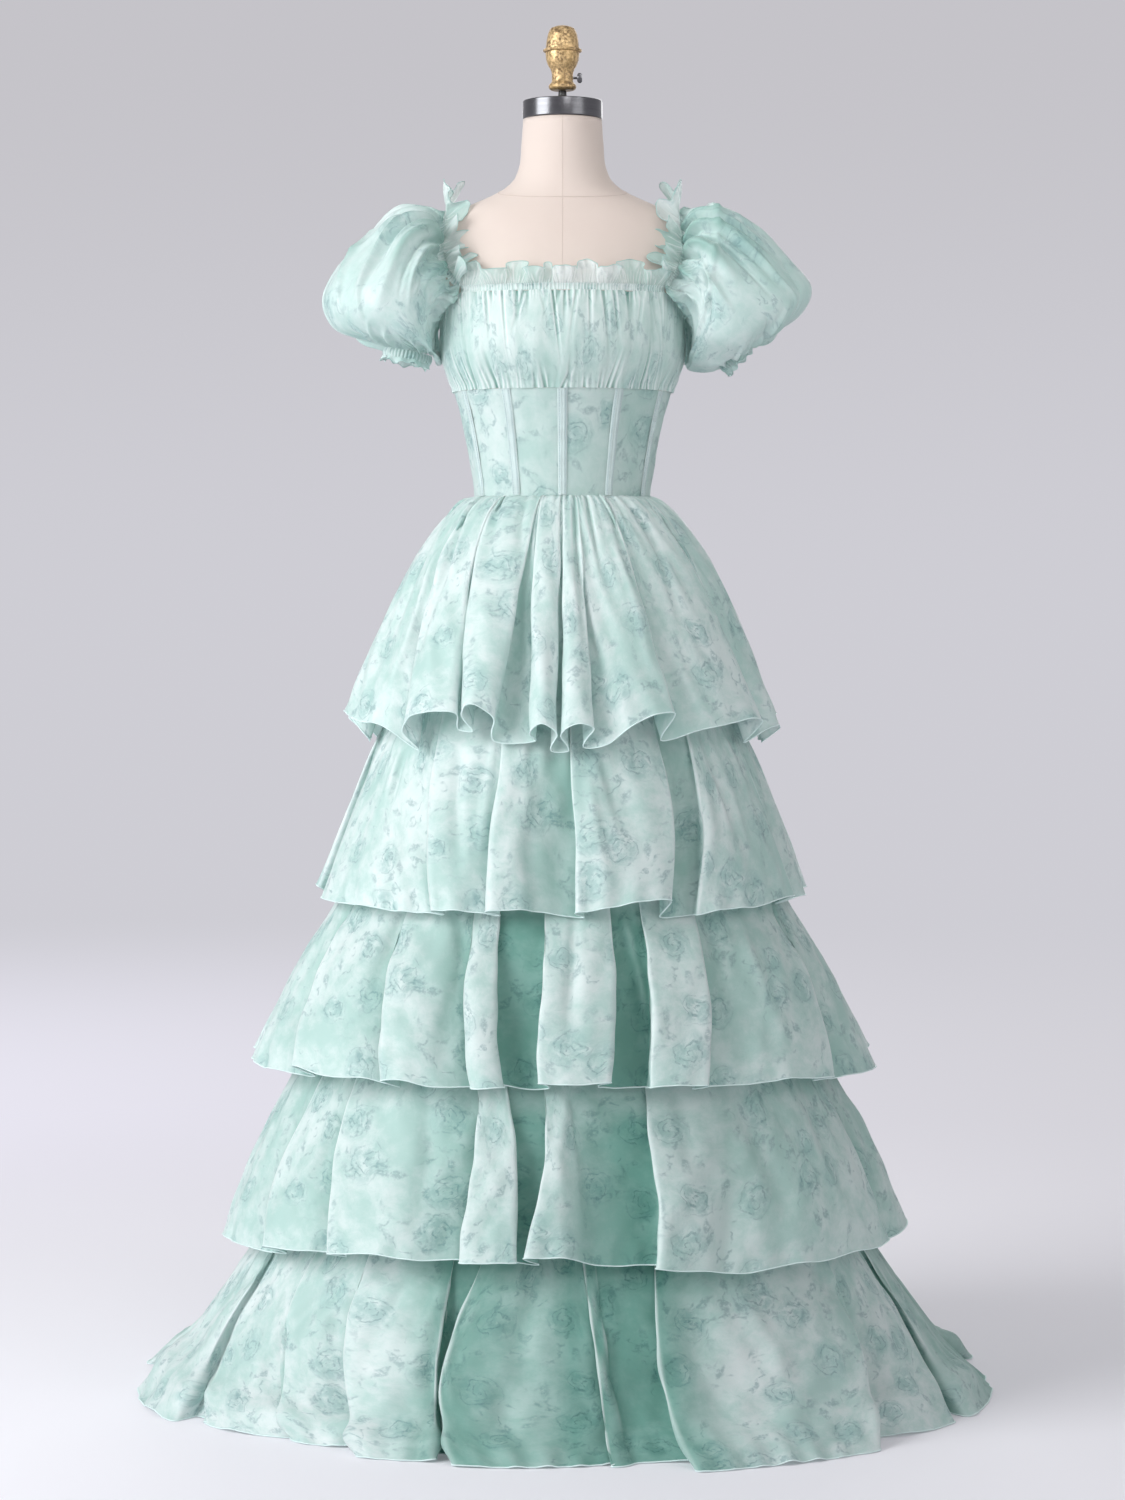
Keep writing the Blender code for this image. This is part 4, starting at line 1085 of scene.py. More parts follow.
def brushed_steel():
    """Steel turned on a lathe, its fine rings running round."""
    finish = new_finish("brushed_steel")
    rings = finish.first("Mapping", {"Vector": finish.place(), "Scale": (3.0, 3.0, 900.0)})
    scratches = finish.noise(rings, 1.0, 3.0, 0.7)
    shade = finish.mix(scratches, (0.07, 0.07, 0.075, 1.0), (0.19, 0.19, 0.20, 1.0))
    bump = finish.bump(scratches, 0.15, 0.0003)
    inputs = {"Base Color": shade, "Metallic": 1.0, "Roughness": 0.24, "Normal": bump}
    return finish.output(finish.first("BsdfPrincipled", inputs))


def cast_brass():
    """Aged cast brass, mottled and slightly pitted."""
    finish = new_finish("cast_brass")
    place = finish.place()
    mottle = finish.noise(place, 260.0, 5.0, 0.7)
    worn = finish.blotches(place, 60.0, 3.0, 0.6, 0.38, 0.62)
    dark = finish.mix(worn, (0.16, 0.10, 0.045, 1.0), (0.42, 0.28, 0.12, 1.0))
    shade = finish.mix(finish.rise(mottle, 0.40, 0.62), dark, (0.72, 0.51, 0.26, 1.0))
    bump = finish.bump(mottle, 0.6, 0.0006)
    inputs = {"Base Color": shade, "Metallic": 0.55, "Roughness": 0.42, "Normal": bump}
    return finish.output(finish.first("BsdfPrincipled", inputs))


# ---------------------------------------------------------------- camera, light and stage

FLOOR = (0.93, 0.91, 0.955, 1.0)
# Painted light and shade on the floor as the camera sees it: lighter on the left by the key lamp, darker on
# the right.
FLOOR_PAINTED_LIGHT_LEFT = (0.87, 0.85, 0.96, 1.0)
FLOOR_PAINTED_SHADE_RIGHT = (0.655, 0.645, 0.69, 1.0)
HORIZON = (0.618, 0.612, 0.66, 1.0)
BACKDROP = (0.56, 0.55, 0.585, 1.0)
AIR = (0.95, 0.96, 1.0, 1.0)
FLOOR_REACH = 60.0
CAMERA_PLACE = (0.0, -4.5, 1.0)
CAMERA_DIP = 2.4  # degrees down from level
LIGHTS = (
    # name, place, aim, size, power, colour, spread
    ("key", (-3.1, -1.8, 2.1), (0.0, 0.0, 1.0), (2.4, 2.6), 146.0, (0.98, 1.0, 1.01), 180),
    ("fill", (2.9, -2.9, 1.7), (0.0, 0.0, 1.0), (2.2, 2.2), 26.0, (1.0, 1.0, 1.0), 180),
    ("front", (0.9, -3.5, 3.0), (0.0, 0.0, 1.5), (1.2, 1.2), 2.6, (1.0, 0.99, 0.98), 52),
    ("side", (1.9, -1.5, 2.5), (0.27, 0.0, 1.38), (0.6, 0.6), 0.22, (1.0, 1.0, 1.0), 24),
    ("back", (0.4, 3.6, 2.4), (0.0, 0.0, 0.9), (2.4, 2.0), 40.0, (1.0, 1.0, 1.0), 180),
    ("top", (0.0, -0.6, 4.2), (0.0, 0.2, 0.9), (2.4, 2.0), 9.0, (1.0, 1.0, 1.0), 180),
)


def add_camera():
    camera = bpy.data.cameras.new("camera")
    camera.lens = 85.4
    camera.sensor_width = 36.0
    camera.clip_end = 60.0
    made = bpy.data.objects.new("camera", camera)
    made.location = CAMERA_PLACE
    made.rotation_euler = (math.radians(90.0 - CAMERA_DIP), 0.0, 0.0)
    bpy.context.scene.collection.objects.link(made)
    bpy.context.scene.camera = made


def add_light(name, place, aim, size, power, colour, spread):
    light = bpy.data.lights.new(name, "AREA")
    light.shape = "RECTANGLE"
    light.size, light.size_y = size
    light.energy = power
    light.spread = math.radians(spread)
    light.color = colour
    made = bpy.data.objects.new(name, light)
    made.location = place
    made.rotation_euler = (Vector(aim) - Vector(place)).to_track_quat("-Z", "Y").to_euler()
    bpy.context.scene.collection.objects.link(made)


def seen_ray(finish):
    """1 on rays that show the backdrop: those of the camera and those in metal or glass."""
    path = finish.node("LightPath").outputs
    seen = finish.math("MAXIMUM", path["Is Camera Ray"], path["Is Glossy Ray"])
    return finish.math("MAXIMUM", seen, path["Is Transmission Ray"])


def add_stage():
    """A pale floor, lit near the dress, that farther out shows a colour with painted light to the left and
    painted shade to the right, turning into the backdrop's colour.
    """
    finish = new_finish("studio_floor")
    place = finish.place()
    away = finish.node("VectorMath", {0: place}, operation="LENGTH").outputs["Value"]
    across = finish.node("SeparateXYZ", {0: place}).outputs["X"]
    near = finish.mix(finish.rise(across, -2.6, 1.6), FLOOR_PAINTED_LIGHT_LEFT, FLOOR_PAINTED_SHADE_RIGHT)
    shown = finish.first("Emission", {"Color": finish.mix(finish.rise(away, 2.4, 7.0), near, HORIZON)})
    lit = finish.first("BsdfPrincipled", {"Base Color": FLOOR, "Roughness": 0.9})
    share = finish.times(finish.rise(away, 0.8, 2.6, low=0.16, high=1.0), seen_ray(finish))
    floor = finish.output(finish.first("MixShader", {0: share, 1: lit, 2: shown}))
    square = ((-1, -1), (1, -1), (1, 1), (-1, 1))
    corners = [(x * FLOOR_REACH, y * FLOOR_REACH, 0.0) for x, y in square]
    add_mesh("studio_floor", corners, [(0, 1, 2, 3)], [floor])


def add_world():
    """Soft light from all round, in front of a plain backdrop that darkens slightly upwards."""
    finish = Finish(bpy.data.worlds.new("studio"))
    way = finish.node("SeparateXYZ", {0: finish.node("TexCoord").outputs["Generated"]}).outputs["Z"]
    shade = finish.mix(finish.rise(way, 0.0, 0.16), HORIZON, BACKDROP)
    light = finish.first("Background", {"Color": AIR, "Strength": 0.30})
    shown = finish.first("Background", {"Color": shade, "Strength": 1.0})
    mixed = finish.first("MixShader", {0: seen_ray(finish), 1: light, 2: shown})
    bpy.context.scene.world = finish.output(mixed, "OutputWorld")


def add_studio():
    bpy.context.scene.view_settings.view_transform = "Standard"
    add_world()
    for row in LIGHTS:
        add_light(*row)


# ---------------------------------------------------------------- skirt


def back_angle(tier, angle):
    """Where an angle of the shared back lies on this tier: spread, and swayed most at the middle."""
    sway = tier.back.sway * math.sin(math.radians(angle - 90.0))
    return 180.0 + (angle - 180.0) * tier.back.stretch + sway


def whole_folds(tier):
    """The folds once round a tier: its own in front, then the shared ones of the back."""
    folds = [Fold(*row) for row in tier.folds]
    lift = tier.back.lift
    for *angles, style, reach, lift_from, lift_to in BACK_FOLDS:
        placed = [back_angle(tier, angle) for angle in angles]
        folds.append(Fold(*placed, style, tier.back.gap, reach, lift * lift_from, lift * lift_to))
    return folds


def whole_creases(tier):
    """Three places, depth and half width of each crease once round a tier."""
    rows = list(tier.creases)
    for angles in BACK_CREASES:
        top, middle, foot = (back_angle(tier, angle) for angle in angles)
        rows.append((top, 0.30, middle, 0.60, foot, 0.95, tier.back.crease_depth, tier.back.crease_width))
    return rows


def fold_columns(folds):
    """hem angle, top angle, tuck, fall, reach and lift of each column round a tier."""
    columns = []
    for i, fold in enumerate(folds):
        before, after = folds[i - 1], folds[(i + 1) % len(folds)]
        turn = 360.0 if i + 1 == len(folds) else 0.0
        peak, edge_from, edge_to, _, tuck_to = FOLD_STYLES[fold.style]
        tuck_from = FOLD_STYLES[after.style][3]
        for t in (0.0, 0.25, 0.5, 0.75, 1.0):
            if t < peak:
                fall = before.gap * edge_from * ((peak - t) / peak) ** 2
            else:
                fall = fold.gap * edge_to * ((t - peak) / (1 - peak)) ** 2
            hem = fold.start + (fold.end - fold.start) * t
            top = fold.top_start + (fold.top_end - fold.top_start) * t
            lift = fold.lift_from + (fold.lift_to - fold.lift_from) * t
            columns.append((hem, top, 0.0, fall, fold.reach, lift))
        low = (fold.gap, (fold.reach + after.reach) / 2, (fold.lift_to + after.lift_from) / 2)
        end, top_end = fold.end, fold.top_end
        start, top_start = after.start + turn, after.top_start + turn
        if tuck_to is not None:
            columns.append((end, top_end, -tuck_to, *low))
        if tuck_from is not None:
            columns.append((start, top_start, tuck_from, *low))
        if tuck_to is None and tuck_from is None:
            columns.append(((end + start) / 2, (top_end + top_start) / 2, 0.0, *low))
    return np.array(columns)


def seamed_columns(folds):
    """The columns from the right side seam once round, with one on each side seam."""
    columns = fold_columns(folds)
    turn = np.array([360.0, 360.0, 0.0, 0.0, 0.0, 0.0])
    columns = np.vstack([columns - turn, columns, columns + turn])
    columns = columns[(columns[:, 0] > -89.0) & (columns[:, 0] < 269.0)]
    after = np.flatnonzero(columns[:, 0] > SIDE_ANGLE)[0]
    left = np.concatenate([[SIDE_ANGLE, SIDE_ANGLE, 0.0], columns[after - 1 : after + 1, 3:].mean(axis=0)])
    columns = np.insert(columns, after, left, axis=0)
    right = np.concatenate([[270.0, 270.0, 0.0], (columns[-1, 3:] + columns[0, 3:]) / 2])
    return np.vstack([right - turn, columns, right])


def tier_control(tier, rows, seed):
    """Points of a tier with its painted shade, partly the green of cloth in layers: rows down by columns
    once round.
    """
    sections = np.array(tier.sections)
    profile = lengths_along(sections[:, [0, 1]])
    smooth = smooth_curve(profile, sections, np.linspace(0.0, profile[-1], rows))
    heights, half_width, front, back = (smooth[:, k : k + 1] for k in range(4))
    top, bottom = sections[0, 0], sections[-1, 0]
    down = (top - heights) / (top - bottom)
    grown = np.minimum(1.0, down / FULL_FROM)
    share = tier.gathered + (1 - tier.gathered) * grown * grown * (3 - 2 * grown)
    hem_angle, top_angle, tuck, fall, reach, lift = seamed_columns(whole_folds(tier)).T
    stray = ripples(hem_angle, down, seed, depth=tier.wander, across=62.0, down=1.5) * np.sin(math.pi * down)
    stray = stray + smooth_curve(*np.array(tier.bows).T, hem_angle) * np.sin(math.pi * down**1.35)
    angle = top_angle + (hem_angle - top_angle) * down + tuck * share + stray
    scale = (1.0 - fall * share) * (1.0 + reach * down**2)
    level = heights + (lift / 1000 - tier.hem_drop * np.minimum(1.0, fall / FULL_FALL)) * down**2
    points = oval_points(angle, half_width * scale, front * scale, back * scale, level)
    # Painted shade in the valleys, deeper where the cloth falls farther back, partly the green of cloth in
    # layers.
    depth = fall * np.minimum(1.0, 2.6 * down) * sections[-1, 1] / SHADE_STEP - SHADE_FROM
    # Painted shade by angle round the tier, for sides and recesses the light reaches less, partly the green
    # of the layers beneath.
    layers_beneath_and_side_shade = smooth_curve(*np.array(tier.layers_and_side_shade).T, hem_angle)
    layers_and_painted_shade = tier.layers_and_valley_shade * np.clip(depth, 0.0, 1.0) ** 1.3 + layers_beneath_and_side_shade
    return np.concatenate([points, layers_and_painted_shade[..., None]], axis=-1), hem_angle


def tier_points(tier, rows, pitch, seed):
    """The smooth sheet of a whole tier, its painted shade, and where the back starts."""
    control, angle = tier_control(tier, rows, seed)
    chords = step_lengths(control[-1, :, :3], 0)
    knots = running_total(np.sqrt(chords))
    places = []
    split = 0
    for i, chord in enumerate(chords):
        if abs(angle[i] - SIDE_ANGLE) < 1e-6:
            split = len(places)
        count = max(3, round(chord / pitch))
        places += list(np.linspace(knots[i], knots[i + 1], count, endpoint=False))
    places.append(knots[-1])
    wrapped_knots = np.concatenate([knots[-4:-1] - knots[-1], knots, knots[1:4] + knots[-1]])
    turned = np.transpose(control, (1, 0, 2))
    wrapped = np.concatenate([turned[-4:-1], turned, turned[1:4]])
    smooth = np.transpose(smooth_curve(wrapped_knots, wrapped, np.array(places)), (1, 0, 2))
    return smooth[..., :3], smooth[..., 3], split


def lobe_swell(around, down, table):
    """How far a tier swells out round its lobes."""
    total = 0.0
    for angle, place, height, angle_width, down_width in table:
        aside = (around - angle + 180.0) % 360.0 - 180.0
        spread = (aside / angle_width) ** 2 + ((down - place) / down_width) ** 2
        total = total + height / 1000 * np.exp(-spread)
    return total


def add_tier(index, tier, cloth, hem):
    """Both panels of a tier, with its gathers, soft creases, fluttering edge and rolled hem."""
    points, shade, split = tier_points(tier, TIER_ROWS, TIER_PITCH, 7 * index + 3)
    flat = flat_coordinates(points)
    u, v = flat[..., 0], -flat[..., 1]
    width, length = u[0, -1], v[-1, 0]
    down = v / length
    seed = 11 * index
    around = np.degrees(np.arctan2(points[..., 0], -points[..., 1]))
    amount = ripples(u, v, seed + 1, depth=0.0022, across=0.130, down=0.60) * np.minimum(1.0, 1.6 * down)
    amount += ripples(u, v, seed + 2, depth=0.0017, across=0.044, down=0.30) * down**6
    amount += ripples(u, v, seed + 3, depth=0.0013, across=0.045, down=0.070) * np.clip(down * 3, 0, 1)
    amount += lobe_swell(around, down, tier.lobes)
    if tier.gathered:
        amount += GATHERED_OUT - rows_of_gathers(u, v, WAIST_GATHERS, 5)
    beside = np.where(around < -100.0, around + 360.0, around) * CREASE_SCALE
    amount -= creases(beside, v, whole_creases(tier), CREASE_SCALE, length)
    ends = np.minimum(1.0, np.minimum(u, width - u) / 0.02)
    points = pushed(points, amount * ends)
    sway = ripples(u, 0 * v, seed + 5, depth=0.0026, across=0.130, down=1.0) * down**5
    points[..., 2] = np.maximum(points[..., 2] + sway * ends, FLOOR_Z)
    for side, part in (("front", slice(0, split + 1)), ("back", slice(split, None))):
        panel = points[:, part]
        rolled = bead(panel[-1] + np.array([0.0, 0.0, 0.0002]), HEM_BEAD)
        rolled[..., 2] = np.maximum(rolled[..., 2], 0.0002)
        patches = [patch(panel, uv=flat[:, part], shade=shade[:, part]), patch(rolled, finish=1)]
        node = f"tier_{index + 1}_{side}"
        add_cloth(node + "_panel", node, patches, [cloth, hem])


def add_underskirt(finish):
    table = np.array(sorted(UNDERSKIRT))
    heights = np.linspace(UNDERSKIRT[0][0], UNDERSKIRT[-1][0], 40)[:, None]
    half_width, front, back = smooth_curve(table[:, 0], table[:, 1:], heights.ravel()).T[..., None]
    for side, start, end in (("front", -90, 90), ("back", 90, 270)):
        angles = np.linspace(start, end, 90)[None, :]
        points = oval_points(angles, half_width, front, back, heights, -LINING_IN)
        node = f"underskirt_{side}"
        add_cloth(node + "_lining", node, [patch(points)], [finish], "lining")


# ---------------------------------------------------------------- bodice


def neckline_heights(angles):
    """Top edge of the bodice: square in front, dipping under the arm, level at the back."""
    turn = np.abs(angles)
    rise = np.clip((turn - CORNER_ANGLE) / (SIDE_ANGLE - CORNER_ANGLE), 0.0, 1.0)
    front = NECKLINE_Z + (UNDERARM_Z - NECKLINE_Z) * np.sin(rise * math.pi / 2) ** 2.6
    share = np.clip((turn - SIDE_ANGLE) / (BACK_CORNER_ANGLE - SIDE_ANGLE), 0.0, 1.0)
    behind = UNDERARM_Z + (BACK_NECK_Z - UNDERARM_Z) * share**1.5
    return np.where(turn <= SIDE_ANGLE, front, behind)


def bust_points(angles, rows, blouse, seed):
    """Cloth gathered on its top and bottom edges, its flat coordinates and its painted shade, deeper in
    furrows and towards the lower middle.
    """
    angles = angles[None, :]
    v = np.linspace(0.0, 1.0, rows)[:, None]
    beside = np.exp(-(((np.abs(angles) - SIDE_ANGLE) / 18.0) ** 2))
    fullness = blouse * np.sin(math.pi * np.minimum(1.0, 0.12 + 0.95 * v)) ** 0.6 * (1.0 - 0.5 * beside)
    top = neckline_heights(angles) - CASING_HEIGHT / 2
    points = figure_points(angles, top + (UNDERBUST_Z - top) * v, BUST_OUT + fullness)
    flat = flat_coordinates(points)
    u, down = flat[..., 0], -flat[..., 1]
    amount = GATHERED_OUT - rows_of_gathers(u, down, BUST_GATHERS, seed)
    amount += ripples(u, down, seed + 3, depth=0.0010, across=0.034, down=0.20)
    # Painted shade: a little all over, more in the furrows of the gathers and towards the lower middle.
    shade = 0.08 + 0.85 * np.clip((0.0004 - amount) / 0.0036, 0.0, 1.0)
    shade += 0.30 * v**3 * np.exp(-(((angles + 6.0) / 20.0) ** 2))
    return pushed(points, amount), flat * (1.7, 1.0), shade


def add_bust(cloth):
    pieces = (
        # node, from_angle, to_angle, columns, rows, blouse, seed
        ("bust_front", -BUST_SEAM, BUST_SEAM, 600, 52, BUST_BLOUSE, 31),
        ("bust_back_left", BUST_SEAM, BACK_EDGE, 280, 44, BACK_BLOUSE, 41),
        ("bust_back_right", -BACK_EDGE, -BUST_SEAM, 280, 44, BACK_BLOUSE, 51),
    )
    for node, start, end, columns, rows, blouse, seed in pieces:
        points, uv, shade = bust_points(np.linspace(start, end, columns), rows, blouse, seed)
        patches = [patch(points, uv=uv, shade=shade)]
        add_cloth(node + "_cloth", node, patches, [cloth])


LEFT_PANELS = (
    # panel, from_angle, to_angle
    ("centre", 0, 31),
    ("side_front", 31, 64),
    ("side", 64, 108),
    ("back", 108, 180),
)
MIDRIFF_PANELS = (
    *((panel + "_left", start, end) for panel, start, end in LEFT_PANELS),
    *((panel + "_right", -end, -start) for panel, start, end in LEFT_PANELS),
)
BONED_SEAMS = (
    # node, angle, the panels on both sides of its seam
    ("bone_centre", 0, ("centre_left", "centre_right")),
    ("bone_front_left", 31, ("centre_left", "side_front_left")),
    ("bone_front_right", -31, ("centre_right", "side_front_right")),
    ("bone_side_left", 64, ("side_front_left", "side_left")),
    ("bone_side_right", -64, ("side_front_right", "side_right")),
)
PRINT_SHIFT = 0.31  # each panel shows another part of the print


def add_midriff(cloth, channel, thread):
    heights = np.linspace(UNDERBUST_Z, WAIST_Z - 0.002, 40)[:, None]
    for number, (panel, start, end) in enumerate(MIDRIFF_PANELS):
        count = 12 + round((end - start) * 1.6)
        angles = np.linspace(start + 0.05, end - 0.05, count)[None, :]
        points = figure_points(angles, heights, BODICE_OUT)
        flat = flat_coordinates(points, offset=(PRINT_SHIFT * number, 0.0))
        u, v = flat[..., 0] - PRINT_SHIFT * number, -flat[..., 1]
        edge = np.minimum(u, u[0, -1] - u)
        seam = -SEAM_DEPTH * np.exp(-((edge / SEAM_WIDTH) ** 2))
        points = pushed(points, seam + ripples(u, v, 71 + number, depth=0.0006, across=0.05, down=0.05))
        # Painted shade, darker round towards the wearer's left, away from the key lamp.
        shade = 0.03 + 0.25 * np.clip((angles + 40.0) / 85.0, 0.0, 1.0) * np.ones_like(heights)
        node = "midriff_" + panel
        patches = [patch(points, uv=flat, shade=shade)]
        add_cloth(node + "_cloth", node, patches, [cloth])
    for number, (node, angle, panels) in enumerate(BONED_SEAMS):
        add_bone(node, angle, number, channel, thread)


def add_bone(node, angle, number, channel, thread):
    """A boning channel: a narrow tape, rounded over its bone and stitched down both edges."""
    half = math.degrees(BONE_WIDTH / 2 / MIDRIFF_RADIUS)
    across = np.linspace(-1.0, 1.0, 15)[None, :]
    heights = np.linspace(UNDERBUST_Z - 0.0005, WAIST_Z + 0.001, 90)[:, None]
    crown = 0.0016 * np.clip(1.0 - np.abs(across) ** 4, 0.0, 1.0)
    ditch = -SEAM_DEPTH * np.exp(-(((np.abs(across) - STITCH_LINE) / 0.10) ** 2))
    centre = -SEAM_DEPTH * np.exp(-((across / 0.10) ** 2))
    pucker = 0.0002 * np.sin(heights * 2 * math.pi / PUCKER_PITCH + number) * np.abs(across)
    out = BODICE_OUT + 0.0008 + crown + ditch + centre + pucker
    points = figure_points(angle + across * half, heights, out)
    add_cloth(node + "_tape", node, [patch(points)], [channel], "channel")
    stitches = []
    for side in (-STITCH_LINE, STITCH_LINE):
        for height in np.arange(WAIST_Z + 0.003, UNDERBUST_Z - 0.002, BONE_STITCH):
            run = np.array([height, height + BONE_STITCH * STITCH_SHARE])
            line = figure_points(angle + side * half, run, BODICE_OUT + 0.0020)
            stitches.append(patch(bead(line, 0.00030, sides=5)))
    dress_piece(add_patches(node + "_stitches", stitches, [thread]), "channel")


def add_zip_teeth(finish):
    """The coil of the closed zip: short rods across the strip, from its foot to the slider."""
    heights = np.linspace(ZIP_BOTTOM_Z, ZIP_TOP_Z, 9)
    out = ZIP_FACE + np.where(heights > UNDERBUST_Z - 0.02, ZIP_STEP, 0.0)
    face = figure_points(180.0, heights, out)[:, 1]
    teeth = []
    for height in np.arange(ZIP_BOTTOM_Z + 0.003, ZIP_SLIDER_Z, ZIP_PITCH):
        place = np.interp(height, heights, face)
        ends = ((-ZIP_TOOTH, 0.0), (0.0, 0.0003), (ZIP_TOOTH, 0.0))
        rod = np.array([(x, place + y, height) for x, y in ends])
        teeth.append(patch(bead(rod, 0.0005)))
    dress_piece(add_patches("zip_teeth", teeth, [finish]), "zip_metal")


# ---------------------------------------------------------------- casings and frills


def edge_path(start, end, count):
    """Points along the bodice's top edge and the way a frill leans there."""
    angles = np.linspace(start, end, count)
    points = figure_points(angles, neckline_heights(angles), CASING_OUT)
    away = unit(points * np.array([1.0, 1.0, 0.0]))
    return points, unit(np.array([0.0, 0.0, 1.0]) + away * FRILL_LEAN)


def shoulder_path(count):
    """Points over the shoulder and the way a frill leans there."""
    table = along_line(SHOULDER_LINE, count)
    return table[:, :3], unit(table[:, 3:])


def outwards(points, leans):
    """The way out of a band, square to its line and to its lean, and the way along it."""
    run = unit(np.gradient(points, axis=0))
    return unit(np.cross(leans, run)), run


def casing_points(points, leans, seed):
    """The gathered band over the elastic: a half round, puckered across all its length."""
    out, _ = outwards(points, leans)
    place = lengths_along(points)
    turns = np.linspace(math.radians(78), math.radians(-78), 11)[:, None]
    slip = ripples(place, 0 * place, seed, depth=1.6, across=0.03, down=1.0)
    pucker = np.abs(np.cos(math.pi * place / 0.0042 + slip))
    swell = 0.72 + 0.40 * pucker + ripples(place, turns, seed + 1, depth=0.05, across=0.009, down=2.0)
    tall = CASING_HEIGHT / 2 * np.sin(turns) * (0.97 + 0.06 * pucker)
    thick = CASING_THICK / 2 * (2.0 * np.cos(turns) * swell - 0.8)
    return points + leans * tall[..., None] + out * thick[..., None]


def petal_waves(place, petals):
    """Throw, height and swing along a frill, petal after petal, the row of petals repeating."""
    throw, tall, swing = (np.zeros_like(place) for _ in range(3))
    start, i = 0.0, 0
    while start < place[-1]:
        width, height, side = petals[i % len(petals)]
        share = np.clip((place - start) / width, 0.0, 1.0)
        inside = (place >= start) & (place < start + width)
        bulge = np.sin(math.pi * share) ** 0.7
        throw[inside] = (side * bulge)[inside]
        tall[inside] = (0.85 + (height - 0.85) * bulge)[inside]
        swing[inside] = (-0.21 * width * np.sin(2 * math.pi * share))[inside]
        start += width
        i += 1
    return throw, tall, swing


def frill_points(points, leans, height, wave, petals, seed, rows=14):
    """A strip that stands on a casing, its free edge thrown into uneven petals."""
    out, run = outwards(points, leans)
    place = lengths_along(points)
    throw, tall, swing = petal_waves(place, petals)
    level = np.linspace(1.0, 0.0, rows)[:, None]
    crumple = ripples(place, 0 * place, seed, depth=1.0, across=0.012, down=1.0)
    bend = wave * (throw + 0.15 * crumple) * level**0.8
    curl = -0.35 * wave * throw * np.clip(level - 0.55, 0.0, 1.0)
    sway = swing * level**0.9
    sway = sway + ripples(place, level, seed + 1, depth=0.35 * wave, across=0.030, down=1.5) * level
    fine = ripples(place, level, seed + 2, depth=0.0010, across=0.0075, down=0.7) * level
    fine += ripples(place, level, seed + 3, depth=0.0006, across=0.0040, down=2.0) * (1.0 - level) ** 0.7
    foot = CASING_HEIGHT / 2 - 0.0008
    tall = height * (tall + 0.06 * crumple)
    grid = points + leans * (foot + tall * level)[..., None]
    return grid + out * (bend + curl + fine)[..., None] + run * sway[..., None]


def add_edge(name, path, band_seed, frill, cloths, mirror=False):
    """A casing along a path, and the frill of this height, wave, petals and seed on top of it."""
    gathered, sheer, hem = cloths
    band, ruffle = casing_points(*path, band_seed), frill_points(*path, *frill)
    if mirror:
        band, ruffle = mirrored(band), mirrored(ruffle)
    casing, node = name.format("casing"), name.format("frill")
    add_cloth(casing + "_band", casing, [patch(band)], [gathered])
    patches = [patch(ruffle), patch(bead(ruffle[0], FRILL_BEAD, sides=5), finish=1)]
    add_cloth(node + "_ruffle", node, patches, [sheer, hem])


def add_edges(cloths):
    """Every casing and frill of the neckline and of the shoulders."""
    front = edge_path(-NECK_END, NECK_END, 480)
    back = edge_path(BACK_CORNER_ANGLE + 2.0, BACK_EDGE, 320)
    shoulder = shoulder_path(420)
    add_edge("neck_{}_front", front, 101, (1.12 * FRILL_HEIGHT, 0.0120, NECK_PETALS, 103), cloths)
    for side, seed in (("left", 111), ("right", 121)):
        mirror = side == "right"
        frill = (FRILL_HEIGHT, 0.0085, NECK_PETALS[2:], seed + 1)
        add_edge("neck_{}_back_" + side, back, seed, frill, cloths, mirror)
        frill = (SHOULDER_FRILL_HEIGHT, 0.0110, SHOULDER_PETALS, seed + 5)
        add_edge("shoulder_{}_" + side, shoulder, seed + 4, frill, cloths, mirror)


# ---------------------------------------------------------------- sleeves


def armhole_ring():
    """The sleeve's first ring: from the shoulder's top by the front, under the arm and back."""
    points, leans = shoulder_path(SHOULDER_COLUMNS)
    over = points - leans * (CASING_HEIGHT / 2)
    under = along_line(UNDERARM_LINE, SLEEVE_COLUMNS - SHOULDER_COLUMNS)
    top = SHOULDER_COLUMNS // 2
    return np.concatenate([over[top::-1], under, over[:top:-1]])


def sleeve_ring(row, columns=SLEEVE_COLUMNS):
    """A ring that starts at its outer end and runs round by the front."""
    outer_x, outer_z, inner_x, inner_z, half_depth = row
    outer, inner = np.array([outer_x, 0.0, outer_z]), np.array([inner_x, 0.0, inner_z])
    turn = 2 * math.pi * np.arange(columns)[:, None] / columns
    ring = (outer + inner) / 2 + (outer - inner) / 2 * np.cos(turn)
    return ring + np.array([0.0, -half_depth, 0.0]) * np.sin(turn)


def closed_surface(control, rows, columns):
    """A smooth tube through rings of points."""
    knots = running_total(step_lengths(control, 0).mean(axis=1))
    tall = smooth_curve(knots, control, np.linspace(0.0, knots[-1], rows))
    turned = np.transpose(tall, (1, 0, 2))
    count = len(turned)
    wrapped = np.concatenate([turned[-3:], turned, turned[:4]])
    places = np.linspace(0.0, count, columns, endpoint=False)
    return np.transpose(smooth_curve(np.arange(-3, count + 4), wrapped, places), (1, 0, 2))


